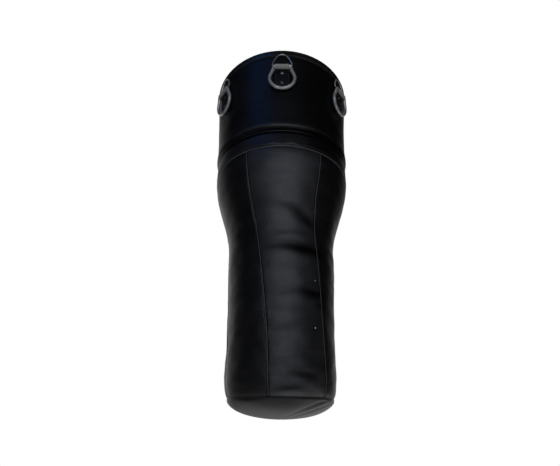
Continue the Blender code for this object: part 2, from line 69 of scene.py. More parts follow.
LOG = logging.getLogger("punching_bag")
FULL_TURN = 2.0 * math.pi
HALF_PANEL = math.radians(30.0)
HANGER_DEGREES = (0, 54, 126, 180, 234, 306)
UP = Vector((0.0, 0.0, 1.0))
MERGE_DISTANCE = 0.000002
SAME_LEVEL = 0.000001
SHARP_TURN = 1.0
# The leather's painted shade: 0 where it is plain, up to 1 for painted shade deep in a fold, below 0 for a
# painted highlight
PAINTED_SHADE = "painted_shade"


class Body(Enum):
    """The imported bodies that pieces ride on: the bag, and the rings and loops, which are numbered."""

    BAG = "bag"
    RING = "ring"
    LOOP = "loop"

    def numbered(self, number: int) -> str:
        """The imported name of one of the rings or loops."""
        return f"{self.value}_{number}"


def ease(value: float, low: float, high: float) -> float:
    """Smooth step from 0 at low to 1 at high."""
    t = min(max((value - low) / (high - low), 0.0), 1.0)
    return t * t * (3.0 - 2.0 * t)


def bell(value: float, width: float) -> float:
    """A soft bump of height 1 round zero."""
    return math.exp(-((value / width) ** 2))


def round_spot(radius: float, angle: float, z: float) -> Vector:
    """A point round the bag, at an angle in radians from the front."""
    return Vector((radius * math.sin(angle), -radius * math.cos(angle), z))


def round_line(radius: float, z: float, count: int) -> list[Vector]:
    """A level ring of points round the bag, from the front on."""
    return [round_spot(radius, FULL_TURN * index / count, z) for index in range(count)]


def flat_part(spot: Vector) -> Vector:
    """The level vector from the bag's axis out to a place."""
    return Vector((spot.x, spot.y, 0.0))


def side_degrees(spot: Vector) -> float:
    """How far round from the front a place is, in degrees, positive towards +X."""
    return math.degrees(math.atan2(spot.x, -spot.y))


# Nodes of a material


class NodeSheet:
    """Adds and links shader nodes in one tree."""

    def __init__(self, tree: bpy.types.NodeTree) -> None:
        """Keeps the tree.

        Args:
            tree: the node tree to build in.
        """
        self.tree = tree

    def add(self, kind: str, **settings: object) -> bpy.types.Node:
        """Adds a node and sets its properties and the defaults of its named inputs.

        Args:
            kind: the node's type name.
            settings: node properties, or input names with underscores for spaces.

        Returns:
            The new node.
        """
        node = self.tree.nodes.new(kind)
        for name, value in settings.items():
            if hasattr(node, name):
                setattr(node, name, value)
            else:
                node.inputs[name.replace("_", " ")].default_value = value
        return node

    def link(self, source: Socket, target: Socket) -> None:
        """Links one socket to another."""
        self.tree.links.new(source, target)

    def math(self, operation: str, first: object, second: object = 0.0, clamp: bool = False) -> Socket:
        """A Math node on sockets or numbers.

        Args:
            operation: the Math node's operation.
            first: a socket or a number.
            second: a socket or a number.
            clamp: whether the result is held between 0 and 1.

        Returns:
            The result's socket.
        """
        node = self.add("ShaderNodeMath", operation=operation, use_clamp=clamp)
        for index, value in enumerate((first, second)):
            if isinstance(value, Socket):
                self.link(value, node.inputs[index])
            else:
                node.inputs[index].default_value = value
        return node.outputs[0]

    def remap(self, value: Socket, old: tuple[float, float], new: tuple[float, float]) -> Socket:
        """Maps a value from one range to another, clamped.

        Args:
            value: the socket to map.
            old: the range that comes in.
            new: the range that goes out.

        Returns:
            The mapped socket.
        """
        node = self.add("ShaderNodeMapRange", clamp=True)
        for name, number in zip(("From Min", "From Max", "To Min", "To Max"), (*old, *new)):
            node.inputs[name].default_value = number
        self.link(value, node.inputs["Value"])
        return node.outputs["Result"]

    def mix(self, factor: Socket, first: object, second: object) -> Socket:
        """Mixes two colours.

        Args:
            factor: the socket of the share of the second colour.
            first: a colour socket or three numbers.
            second: a colour socket or three numbers.

        Returns:
            The mixed colour's socket.
        """
        node = self.add("ShaderNodeMix", data_type="RGBA")
        self.link(factor, node.inputs[0])
        for index, value in ((6, first), (7, second)):
            if isinstance(value, Socket):
                self.link(value, node.inputs[index])
            else:
                node.inputs[index].default_value = (*value, 1.0)
        return node.outputs[2]

    def blend(self, share: Socket, first: Socket, second: Socket) -> Socket:
        """Mixes two shaders.

        Args:
            share: the socket of the share of the second shader.
            first: a shader's socket.
            second: a shader's socket.

        Returns:
            The mixed shader's socket.
        """
        node = self.add("ShaderNodeMixShader")
        for index, socket in enumerate((share, first, second)):
            self.link(socket, node.inputs[index])
        return node.outputs[0]

    def rays(self) -> tuple[Socket, Socket]:
        """Tells rays that show a thing to the camera, straight or through clear things, and mirrored rays.

        Returns:
            The sockets of the two, each 0 or 1.
        """
        path = self.add("ShaderNodeLightPath")
        straight, through = path.outputs["Is Camera Ray"], path.outputs["Is Transmission Ray"]
        return self.math("ADD", straight, through, clamp=True), path.outputs["Is Glossy Ray"]


def begin_group(
    name: str, inputs: dict[str, float], outputs: Sequence[str]
) -> tuple[bpy.types.NodeTree, NodeSheet, bpy.types.Node, bpy.types.Node]:
    """Starts a shader node group with a vector input, number inputs and number outputs.

    Args:
        name: the group's name.
        inputs: number inputs with their defaults.
        outputs: names of the number outputs.

    Returns:
        The tree, a sheet on it, its input node and its output node.
    """
    tree = bpy.data.node_groups.new(name, "ShaderNodeTree")
    tree.interface.new_socket("Vector", in_out="INPUT", socket_type="NodeSocketVector")
    for label, value in inputs.items():
        socket = tree.interface.new_socket(label, in_out="INPUT", socket_type="NodeSocketFloat")
        socket.default_value = value
    for label in outputs:
        tree.interface.new_socket(label, in_out="OUTPUT", socket_type="NodeSocketFloat")
    sheet = NodeSheet(tree)
    return tree, sheet, sheet.add("NodeGroupInput"), sheet.add("NodeGroupOutput")


def build_grain_group() -> bpy.types.NodeTree:
    """Leather grain: pebbles with valleys between them, and fine pores.

    Returns:
        A group with the outputs Height and Valley.
    """
    tree, sheet, given, out = begin_group("leather_grain", {"Pebbles": 620.0}, ("Height", "Valley"))
    warp = sheet.add("ShaderNodeTexNoise", Scale=90.0, Detail=2.0)
    sheet.link(given.outputs["Vector"], warp.inputs["Vector"])
    bend = sheet.add("ShaderNodeVectorMath", operation="SCALE")
    sheet.link(warp.outputs["Color"], bend.inputs[0])
    bend.inputs["Scale"].default_value = 0.0022
    moved = sheet.add("ShaderNodeVectorMath", operation="ADD")
    sheet.link(given.outputs["Vector"], moved.inputs[0])
    sheet.link(bend.outputs[0], moved.inputs[1])
    cells = sheet.add("ShaderNodeTexVoronoi", feature="SMOOTH_F1")
    sheet.link(moved.outputs[0], cells.inputs["Vector"])
    sheet.link(given.outputs["Pebbles"], cells.inputs["Scale"])
    pores = sheet.add("ShaderNodeTexNoise", Scale=1900.0, Detail=1.0)
    sheet.link(given.outputs["Vector"], pores.inputs["Vector"])
    dome = sheet.math("SUBTRACT", 1.0, cells.outputs["Distance"])
    fine = sheet.math("MULTIPLY", pores.outputs["Fac"], 0.25)
    sheet.link(sheet.math("ADD", dome, fine), out.inputs["Height"])
    sheet.link(sheet.remap(cells.outputs["Distance"], (0.45, 0.9), (0.0, 1.0)), out.inputs["Valley"])
    return tree


def build_handling_group() -> bpy.types.NodeTree:
    """Soft marks of use: cloudy rubbing, streaks round the bag, and a few dust specks.

    Returns:
        A group with the outputs Cloud, Streak and Speck.
    """
    tree, sheet, given, out = begin_group(
        "handling", {"Clouds": 9.0, "Specks": 60.0}, ("Cloud", "Streak", "Speck")
    )
    cloud = sheet.add("ShaderNodeTexNoise", Detail=4.0, Roughness=0.55)
    sheet.link(given.outputs["Vector"], cloud.inputs["Vector"])
    sheet.link(given.outputs["Clouds"], cloud.inputs["Scale"])
    flat = sheet.add("ShaderNodeMapping")
    flat.inputs["Scale"].default_value = (3.0, 3.0, 22.0)
    sheet.link(given.outputs["Vector"], flat.inputs["Vector"])
    streak = sheet.add("ShaderNodeTexNoise", Scale=1.6, Detail=5.0, Roughness=0.6)
    sheet.link(flat.outputs[0], streak.inputs["Vector"])
    dust = sheet.add("ShaderNodeTexVoronoi", feature="F1")
    sheet.link(given.outputs["Vector"], dust.inputs["Vector"])
    sheet.link(given.outputs["Specks"], dust.inputs["Scale"])
    sheet.link(sheet.remap(cloud.outputs["Fac"], (0.35, 0.7), (0.0, 1.0)), out.inputs["Cloud"])
    sheet.link(sheet.remap(streak.outputs["Fac"], (0.4, 0.7), (0.0, 1.0)), out.inputs["Streak"])
    sheet.link(sheet.remap(dust.outputs["Distance"], (0.02, 0.05), (1.0, 0.0)), out.inputs["Speck"])
    return tree


def build_scuff_group() -> bpy.types.NodeTree:
    """Fine random scratches and dull patches on metal.

    Returns:
        A group with the outputs Scratch and Dull.
    """
    tree, sheet, given, out = begin_group("metal_scuff", {"Scratches": 240.0}, ("Scratch", "Dull"))
    turned = sheet.add("ShaderNodeMapping")
    turned.inputs["Rotation"].default_value = (0.4, 0.7, 0.2)
    turned.inputs["Scale"].default_value = (1.0, 7.0, 1.0)
    sheet.link(given.outputs["Vector"], turned.inputs["Vector"])
    lines = sheet.add("ShaderNodeTexNoise", Detail=4.0, Roughness=0.7)
    sheet.link(turned.outputs[0], lines.inputs["Vector"])
    sheet.link(given.outputs["Scratches"], lines.inputs["Scale"])
    patches = sheet.add("ShaderNodeTexNoise", Scale=55.0, Detail=3.0)
    sheet.link(given.outputs["Vector"], patches.inputs["Vector"])
    sheet.link(sheet.remap(lines.outputs["Fac"], (0.42, 0.68), (0.0, 1.0)), out.inputs["Scratch"])
    sheet.link(sheet.remap(patches.outputs["Fac"], (0.4, 0.65), (0.0, 1.0)), out.inputs["Dull"])
    return tree


def build_weave_group() -> bpy.types.NodeTree:
    """A ribbed weave on a UV map in metres: ribs along V, and picks across them.

    Returns:
        A group with the outputs Height and Gap.
    """
    tree, sheet, given, out = begin_group("ribbed_weave", {"Rib": 0.0024, "Pick": 0.0011}, ("Height", "Gap"))
    parts = sheet.add("ShaderNodeSeparateXYZ")
    sheet.link(given.outputs["Vector"], parts.inputs[0])
    waves = []
    for axis, pitch in (("X", "Rib"), ("Y", "Pick")):
        turns = sheet.math("DIVIDE", parts.outputs[axis], given.outputs[pitch])
        wave = sheet.math("SINE", sheet.math("MULTIPLY", turns, FULL_TURN))
        waves.append(sheet.remap(wave, (-1.0, 1.0), (0.0, 1.0)))
    rib, pick = waves
    height = sheet.math("ADD", sheet.math("MULTIPLY", rib, 0.7), sheet.math("MULTIPLY", pick, 0.3))
    sheet.link(height, out.inputs["Height"])
    sheet.link(sheet.remap(height, (0.35, 0.1), (0.0, 1.0)), out.inputs["Gap"])
    return tree


class Groups:
    """The shared shader node groups, each built once."""

    def __init__(self) -> None:
        """Builds the groups."""
        self.grain = build_grain_group()
        self.handling = build_handling_group()
        self.scuff = build_scuff_group()
        self.weave = build_weave_group()


def begin_material(
    name: str, coordinates: str = "Object"
) -> tuple[Material, NodeSheet, bpy.types.Node, Socket]:
    """Starts a material with a Principled shader.

    Args:
        name: the material's name.
        coordinates: the output of Texture Coordinate that its patterns use.

    Returns:
        The material, a sheet on its tree, its Principled shader and the coordinates' socket.
    """
    material = bpy.data.materials.new(name)
    material.use_nodes = True
    sheet = NodeSheet(material.node_tree)
    shader = material.node_tree.nodes["Principled BSDF"]
    where = sheet.add("ShaderNodeTexCoord")
    return material, sheet, shader, where.outputs[coordinates]


def use_group(
    sheet: NodeSheet, tree: bpy.types.NodeTree, vector: Socket, **values: float
) -> bpy.types.Node:
    """Places a group in a material.

    Args:
        sheet: the material's sheet.
        tree: the group.
        vector: the coordinates that it reads.
        values: numbers for its inputs.

    Returns:
        The group's node.
    """
    node = sheet.add("ShaderNodeGroup")
    node.node_tree = tree
    sheet.link(vector, node.inputs["Vector"])
    for name, value in values.items():
        node.inputs[name].default_value = value
    return node


def add_bump(sheet: NodeSheet, shader: bpy.types.Node, height: Socket, depth: float) -> None:
    """Feeds a height, through a Bump node, to a shader's Normal.

    Args:
        sheet: the material's sheet.
        shader: the Principled shader.
        height: the height's socket.
        depth: how deep the relief is, in metres.
    """
    bump = sheet.add("ShaderNodeBump", Distance=depth)
    sheet.link(height, bump.inputs["Height"])
    sheet.link(bump.outputs["Normal"], shader.inputs["Normal"])


@dataclass(frozen=True)
class LeatherFinish:
    """Dyed, finished leather with a pebbled grain."""

    name: str
    color: Triple = (0.0014, 0.0015, 0.0020)
    rubbed: Triple = (0.0034, 0.0034, 0.0040)
    roughness: float = 0.42
    pebbles: float = 620.0
    grain_depth: float = 0.00016
    gloss: float = 0.46
    speck: float = 0.5
    speck_color: Triple = (0.16, 0.16, 0.16)
    cloud_share: float = 0.6
    valley_share: float = 0.6
    valley_tone: float = 0.35
    # How dark the painted shade makes the colour
    painted_shade_tone: float = 0.15
    rub_rough: float = 0.10
    valley_rough: float = 0.12

    def material(self, groups: Groups) -> Material:
        """Builds the material.

        Args:
            groups: the shared node groups.

        Returns:
            The material.
        """
        material, sheet, shader, where = begin_material(self.name)
        grain = use_group(sheet, groups.grain, where, Pebbles=self.pebbles)
        marks = use_group(sheet, groups.handling, where)
        # Painted shade darkens the colour and lowers the specular level; below 0 it raises the specular level
        # as a painted highlight
        painted_shade = sheet.add("ShaderNodeAttribute", attribute_name=PAINTED_SHADE).outputs["Fac"]
        cloud = sheet.math("MULTIPLY", marks.outputs["Cloud"], self.cloud_share)
        streak = sheet.math("MULTIPLY", marks.outputs["Streak"], 1.0 - self.cloud_share)
        rub = sheet.math("ADD", cloud, streak, clamp=True)
        color = sheet.mix(rub, self.color, self.rubbed)
        valley = sheet.math("MULTIPLY", grain.outputs["Valley"], self.valley_share)
        color = sheet.mix(valley, color, tuple(self.valley_tone * c for c in self.color))
        color = sheet.mix(painted_shade, color, tuple(self.painted_shade_tone * c for c in self.color))
        dust = sheet.math("MULTIPLY", marks.outputs["Speck"], self.speck)
        sheet.link(sheet.mix(dust, color, self.speck_color), shader.inputs["Base Color"])
        rough = sheet.math("ADD", sheet.math("MULTIPLY", rub, self.rub_rough), self.roughness - 0.04)
        pits = sheet.math("MULTIPLY", grain.outputs["Valley"], self.valley_rough)
        sheet.link(sheet.math("ADD", rough, pits, clamp=True), shader.inputs["Roughness"])
        shine = sheet.remap(rub, (0.0, 1.0), (0.82 * self.gloss, 1.22 * self.gloss))
        gloss = sheet.math("MULTIPLY", sheet.math("SUBTRACT", 1.0, painted_shade), shine, clamp=True)
        sheet.link(gloss, shader.inputs["Specular IOR Level"])
        add_bump(sheet, shader, grain.outputs["Height"], self.grain_depth)
        return material


@dataclass(frozen=True)
class SteelFinish:
    """Plated steel wire that has been handled."""

    name: str
    color: Triple = (0.46, 0.46, 0.45)
    dull: Triple = (0.30, 0.30, 0.29)
    roughness: float = 0.36
    metallic: float = 0.72
    scratches: float = 240.0
    scratch_depth: float = 0.00003
    scratch_rough: float = 0.16
    dull_rough: float = 0.12

    def material(self, groups: Groups) -> Material:
        """Builds the material.

        Args:
            groups: the shared node groups.

        Returns:
            The material.
        """
        material, sheet, shader, where = begin_material(self.name)
        scuff = use_group(sheet, groups.scuff, where, Scratches=self.scratches)
        sheet.link(sheet.mix(scuff.outputs["Dull"], self.color, self.dull), shader.inputs["Base Color"])
        shader.inputs["Metallic"].default_value = self.metallic
        scratched = sheet.math("MULTIPLY", scuff.outputs["Scratch"], self.scratch_rough)
        rough = sheet.math("ADD", scratched, self.roughness - 0.05)
        dulled = sheet.math("MULTIPLY", scuff.outputs["Dull"], self.dull_rough)
        sheet.link(sheet.math("ADD", rough, dulled, clamp=True), shader.inputs["Roughness"])
        add_bump(sheet, shader, scuff.outputs["Scratch"], self.scratch_depth)
        return material


@dataclass(frozen=True)
class WovenFinish:
    """Ribbed webbing or tape, patterned on its own UV map in metres."""

    name: str
    color: Triple
    gap: Triple
    rib: float = 0.0024
    pick: float = 0.0011
    depth: float = 0.0003
    fuzz_tone: float = 0.8
    roughness: float = 0.85
    sheen: float = 0.25

    def material(self, groups: Groups) -> Material:
        """Builds the material.

        Args:
            groups: the shared node groups.

        Returns:
            The material.
        """
        material, sheet, shader, where = begin_material(self.name, "UV")
        weave = use_group(sheet, groups.weave, where, Rib=self.rib, Pick=self.pick)
        fuzz = sheet.add("ShaderNodeTexNoise", Scale=900.0, Detail=3.0)
        sheet.link(where, fuzz.inputs["Vector"])
        fluff = sheet.remap(fuzz.outputs["Fac"], (0.3, 0.7), (0.0, 1.0))
        tone = sheet.mix(fluff, tuple(self.fuzz_tone * c for c in self.color), self.color)
        sheet.link(sheet.mix(weave.outputs["Gap"], tone, self.gap), shader.inputs["Base Color"])
        shader.inputs["Roughness"].default_value = self.roughness
        shader.inputs["Sheen Weight"].default_value = self.sheen
        add_bump(sheet, shader, weave.outputs["Height"], self.depth)
        return material


@dataclass(frozen=True)
class PlainFinish:
    """Thread, moulded plastic, foam or loose filling: a mottled matte colour with a fine relief."""

    name: str
    color: Triple
    roughness: float = 0.7
    mottle: float = 0.3
    scale: float = 700.0
    depth: float = 0.0001

    def material(self) -> Material:
        """Builds the material, which uses no shared node group.

        Returns:
            The material.
        """
        material, sheet, shader, where = begin_material(self.name)
        speckle = sheet.add("ShaderNodeTexNoise", Scale=self.scale, Detail=3.0)
        sheet.link(where, speckle.inputs["Vector"])
        share = sheet.remap(speckle.outputs["Fac"], (0.3, 0.7), (0.0, 1.0))
        dark = tuple((1.0 - self.mottle) * c for c in self.color)
        sheet.link(sheet.mix(share, dark, self.color), shader.inputs["Base Color"])
        shader.inputs["Roughness"].default_value = self.roughness
        add_bump(sheet, shader, speckle.outputs["Fac"], self.depth)
        return material


@dataclass
class Wardrobe:
    """Every finish on the bag, as built materials."""

    groups: Groups = field(default_factory=Groups)
    leather: Material = field(init=False)
    front: Material = field(init=False)
    binding: Material = field(init=False)
    piping: Material = field(init=False)
    tab: Material = field(init=False)
    steel: Material = field(init=False)
    wire: Material = field(init=False)
    rivet: Material = field(init=False)
    zip_metal: Material = field(init=False)
    webbing: Material = field(init=False)
    tape: Material = field(init=False)
    thread: Material = field(init=False)
    teeth: Material = field(init=False)
    lint: Material = field(init=False)
    foam: Material = field(init=False)
    filling: Material = field(init=False)

    def __post_init__(self) -> None:
        """Builds the materials."""
        groups = self.groups
        self.leather = LeatherFinish("black_leather").material(groups)
        # The front panel's leather: a lighter, glossier copy of the black leather, partly wear from striking
        # and partly painted light where the front lamp falls
        self.front = LeatherFinish(
            "struck_leather_painted_light", color=(0.0065, 0.0067, 0.0080), rubbed=(0.0125, 0.0126, 0.0140),
            roughness=0.44, gloss=0.66,
        ).material(groups)
        self.binding = LeatherFinish("binding_leather", roughness=0.36, speck=0.2).material(groups)
        # Grey piping, far lighter than the leather: its colour also paints the highlight along the seams'
        # edges
        self.piping = LeatherFinish(
            "grey_piping_painted_highlight", color=(0.060, 0.060, 0.062), rubbed=(0.090, 0.090, 0.091),
            roughness=0.42, speck=0.0,
        ).material(groups)
        self.tab = LeatherFinish(
            "tab_leather", color=(0.0020, 0.0021, 0.0026), rubbed=(0.0042, 0.0042, 0.0050),
            roughness=0.52, grain_depth=0.0002, gloss=0.28, speck=0.1,
        ).material(groups)
        self.steel = SteelFinish("plated_steel").material(groups)
        self.wire = SteelFinish(
            "bright_wire", color=(0.62, 0.62, 0.61), dull=(0.40, 0.40, 0.39), roughness=0.24, metallic=0.9
        ).material(groups)
        self.rivet = SteelFinish(
            "rivet_steel", color=(0.30, 0.30, 0.30), dull=(0.13, 0.13, 0.13), roughness=0.40, metallic=1.0
        ).material(groups)
        self.zip_metal = SteelFinish("zip_metal", color=(0.5, 0.5, 0.49), scratches=500.0).material(groups)
        self.webbing = WovenFinish(
            "webbing", (0.27, 0.285, 0.255), (0.045, 0.048, 0.040), rib=0.0050, pick=0.0021, depth=0.0006
        ).material(groups)
        self.tape = WovenFinish(
            "zip_tape", (0.016, 0.016, 0.018), (0.006, 0.006, 0.006), rib=0.0012, pick=0.0009, depth=0.0001
        ).material(groups)
        self.thread = PlainFinish("grey_thread", (0.075, 0.075, 0.078), scale=1500.0).material()
        self.teeth = PlainFinish("zip_teeth", (0.03, 0.03, 0.032), roughness=0.35).material()
        self.lint = PlainFinish("pale_lint", (0.75, 0.75, 0.74), roughness=0.95, mottle=0.15).material()
        self.foam = PlainFinish("pad_foam", (0.2, 0.2, 0.21), roughness=0.95, scale=400.0).material()
        self.filling = PlainFinish(
            "textile_filling", (0.35, 0.33, 0.30), roughness=1.0, scale=60.0, depth=0.002
        ).material()


# Making pieces


def finish_piece(
    name: str,
    mesh: Mesh,
    material: Material,
    body: Body | str = Body.BAG,
    stands_for: Iterable[str] = (),
    crease: float = 40.0,
) -> bpy.types.Object:
    """Makes an object of a mesh that is already in place, and puts it on its body.

    Args:
        name: the piece's name.
        mesh: its mesh, in the row frame.
        material: its finish.
        body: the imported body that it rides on.
        stands_for: the CAD nodes that it replaces.
        crease: the angle in degrees past which an edge is sharp.

    Returns:
        The object.
    """
    mesh.name = name
    mesh.materials.clear()
    mesh.materials.append(material)
    mesh.shade_smooth()
    mesh.set_sharp_from_angle(angle=math.radians(crease))
    piece = bpy.data.objects.new(name, mesh)
    bpy.context.scene.collection.objects.link(piece)
    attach(piece, body.value if isinstance(body, Body) else body)
    nodes = list(stands_for)
    if nodes:
        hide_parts(*nodes)
    LOG.info("%s: %d faces", name, len(mesh.polygons))
    return piece


def mesh_of(bm: bmesh.types.BMesh, turn: Matrix | None = None) -> Mesh:
    """Frees a bmesh into a mesh, after an optional transform.

    Args:
        bm: the bmesh, which is freed.
        turn: a transform for all of it.

    Returns:
        The mesh.
    """
    if turn is not None:
        bmesh.ops.transform(bm, matrix=turn, verts=bm.verts)
    mesh = bpy.data.meshes.new("mesh")
    bm.to_mesh(mesh)
    bm.free()
    return mesh


def turned(profile: Sequence[tuple[float, float]], steps: int, closed: bool) -> bmesh.types.BMesh:
    """Spins a profile of (radius, z) points once round Z, starting at the front.

    Args:
        profile: the points, which run down the outer side.
        steps: how many steps the turn has.
        closed: whether the last point joins the first.

    Returns:
        The bmesh.
    """
    bm = bmesh.new()
    verts = [bm.verts.new((0.0, -radius, z)) for radius, z in profile]
    for first, second in zip(verts, verts[1:] + verts[:1] if closed else verts[1:]):
        bm.edges.new((first, second))
    bmesh.ops.spin(
        bm, geom=bm.verts[:] + bm.edges[:], cent=(0.0, 0.0, 0.0), axis=UP, dvec=(0.0, 0.0, 0.0),
        angle=FULL_TURN, steps=steps, use_merge=True,
    )
    bmesh.ops.remove_doubles(bm, verts=bm.verts, dist=MERGE_DISTANCE)
    bmesh.ops.recalc_face_normals(bm, faces=bm.faces)
    return bm


def baked(holder: bpy.types.Object) -> Mesh:
    """The evaluated mesh of a helper object, which is removed.

    Args:
        holder: the helper, not yet linked.

    Returns:
        Its mesh.
    """
    bpy.context.scene.collection.objects.link(holder)
    bpy.context.view_layer.update()
    graph = bpy.context.evaluated_depsgraph_get()
    mesh = bpy.data.meshes.new_from_object(holder.evaluated_get(graph))
    bpy.data.objects.remove(holder, do_unlink=True)
    return mesh


def thickened(mesh: Mesh, thickness: float) -> Mesh:
    """Gives a sheet its thickness to both sides with a Solidify modifier, applied.

    Args:
        mesh: the sheet.
        thickness: in metres.

    Returns:
        The solid mesh.
    """
    holder = bpy.data.objects.new("sheet", mesh)
    wall = holder.modifiers.new("Wall", "SOLIDIFY")
    wall.thickness = thickness
    wall.offset = 0.0
    wall.use_even_offset = True
    return baked(holder)


def soften(bm: bmesh.types.BMesh, edges: Iterable[bmesh.types.BMEdge], offset: float, segments: int) -> None:
    """Bevels edges.

    Args:
        bm: the bmesh.
        edges: the edges.
        offset: how far the bevel reaches.
        segments: how many steps it has.
    """
    bmesh.ops.bevel(
        bm, geom=list(edges), offset=offset, offset_type="OFFSET", segments=segments, profile=0.5,
        affect="EDGES", material=-1,
    )


def sharp_edges(bm: bmesh.types.BMesh) -> list[bmesh.types.BMEdge]:
    """The edges between two faces that turn by more than SHARP_TURN radians."""
    return [edge for edge in bm.edges if edge.calc_face_angle(0.0) > SHARP_TURN]


def raise_faces(bm: bmesh.types.BMesh, height: float) -> None:
    """Extrudes all of a flat bmesh straight up, and turns its faces outwards.

    Args:
        bm: the bmesh.
        height: how far up its faces go, in metres.
    """
    made = bmesh.ops.extrude_face_region(bm, geom=bm.faces[:])
    risen = [item for item in made["geom"] if isinstance(item, bmesh.types.BMVert)]
    bmesh.ops.translate(bm, verts=risen, vec=(0.0, 0.0, height))
    bmesh.ops.recalc_face_normals(bm, faces=bm.faces)


def grid_row(vert: bmesh.types.BMVert, rows: int) -> int:
    """Which row of a new grid of size 1 a vertex is in, from 0 to rows - 1."""
    return round((vert.co.y + 1.0) * 0.5 * (rows - 1))


def tube_mesh(points: Sequence[Vector], radius: float, sides: int, closed: bool) -> Mesh:
    """A round tube along points, as a mesh.

    Args:
        points: the centre line.
        radius: the tube's radius.
        sides: an even number of sides.
        closed: whether the line is a loop.

    Returns:
        The mesh.
    """
    curve = bpy.data.curves.new("tube", "CURVE")
    curve.dimensions = "3D"
    curve.bevel_depth = radius
    curve.bevel_resolution = max(0, sides // 2 - 2)
    curve.use_fill_caps = not closed
    spline = curve.splines.new("POLY")
    spline.points.add(len(points) - 1)
    for point, place in zip(spline.points, points):
        point.co = (*place, 1.0)
    spline.use_cyclic_u = closed
    mesh = baked(bpy.data.objects.new("tube", curve))
    bpy.data.curves.remove(curve)
    bm = bmesh.new()
    bm.from_mesh(mesh)
    bmesh.ops.remove_doubles(bm, verts=bm.verts, dist=MERGE_DISTANCE)
    bm.to_mesh(mesh)
    bm.free()
    return mesh


@dataclass(frozen=True)
class StitchRow:
    """A row of thread stitches: how far apart, how long and how thick they are, in metres."""

    pitch: float = 0.0052
    length: float = 0.0038
    radius: float = 0.00055

    def mesh(self, places: Sequence[tuple[Vector, Vector]], turn: Matrix | None = None) -> Mesh:
        """Lays stitches along a line.

        Args:
            places: points with the direction of the thread at each.
            turn: a transform for the whole row.

        Returns:
            The mesh of the row.
        """
        bm = bmesh.new()
        size = Matrix.Diagonal((self.radius, self.radius, 0.5 * self.length, 1.0))
        for place, along in places:
            aim = along.to_track_quat("Z", "Y").to_matrix().to_4x4()
            bmesh.ops.create_uvsphere(
                bm, u_segments=6, v_segments=4, radius=1.0, matrix=Matrix.Translation(place) @ aim @ size
            )
        return mesh_of(bm, turn)

    def round_places(self, radius: float, z: float) -> list[tuple[Vector, Vector]]:
        """Places for a level row all round the bag.

        Args:
            radius: the row's radius.
            z: its height in the world.

        Returns:
            Points and thread directions.
        """
        count = round(FULL_TURN * radius / self.pitch)
        return [(spot, UP.cross(spot).normalized()) for spot in round_line(radius, z, count)]


# The bag's form


@dataclass(frozen=True)
class Crease:
    """A fold in the leather: where it lies, its size and slope, and how much shade it paints, below 0 for a
    painted highlight.
    """

    angle: float
    height: float
    half_span: float
    width: float
    depth: float
    slope: float = 0.0
    # The fold's painted shade; below 0 a painted highlight
    dark: float = 0.45
    upper_lip: float = 0.30
    lower_lip: float = 0.25

    def share(self, angle: float, height: float) -> tuple[float, float]:
        """How strongly the fold acts at a place, and how far off its line that is.

        Args:
            angle: degrees round from the front.
            height: metres above the foot seam.

        Returns:
            The strength, 0 to 1, and the distance in metres, positive above the line.
        """
        across = (angle - self.angle + 180.0) % 360.0 - 180.0
        fade = max(0.0, 1.0 - (across / self.half_span) ** 2)
        return fade * fade, height - self.height - self.slope * across

    def press(self, angle: float, height: float) -> float:
        """How far the surface moves outwards at a place, negative inwards.

        Args:
            angle: degrees round from the front.
            height: metres above the foot seam.

        Returns:
            The move in metres.
        """
        fade, off = self.share(angle, height)
        if fade == 0.0:
            return 0.0
        above = self.upper_lip * bell(off - 2.0 * self.width, 1.3 * self.width)
        below = self.lower_lip * bell(off + 2.2 * self.width, 1.4 * self.width)
        return self.depth * fade * (above + below - bell(off, self.width))

    def painted_shade_at(self, angle: float, height: float) -> float:
        """How much shade the fold paints on a place, up to 1, and below 0 where it paints a highlight.

        Args:
            angle: degrees round from the front.
            height: metres above the foot seam.

        Returns:
            The painted shade.
        """
        fade, off = self.share(angle, height)
        return self.dark * fade * bell(off + 0.2 * self.width, 1.15 * self.width)


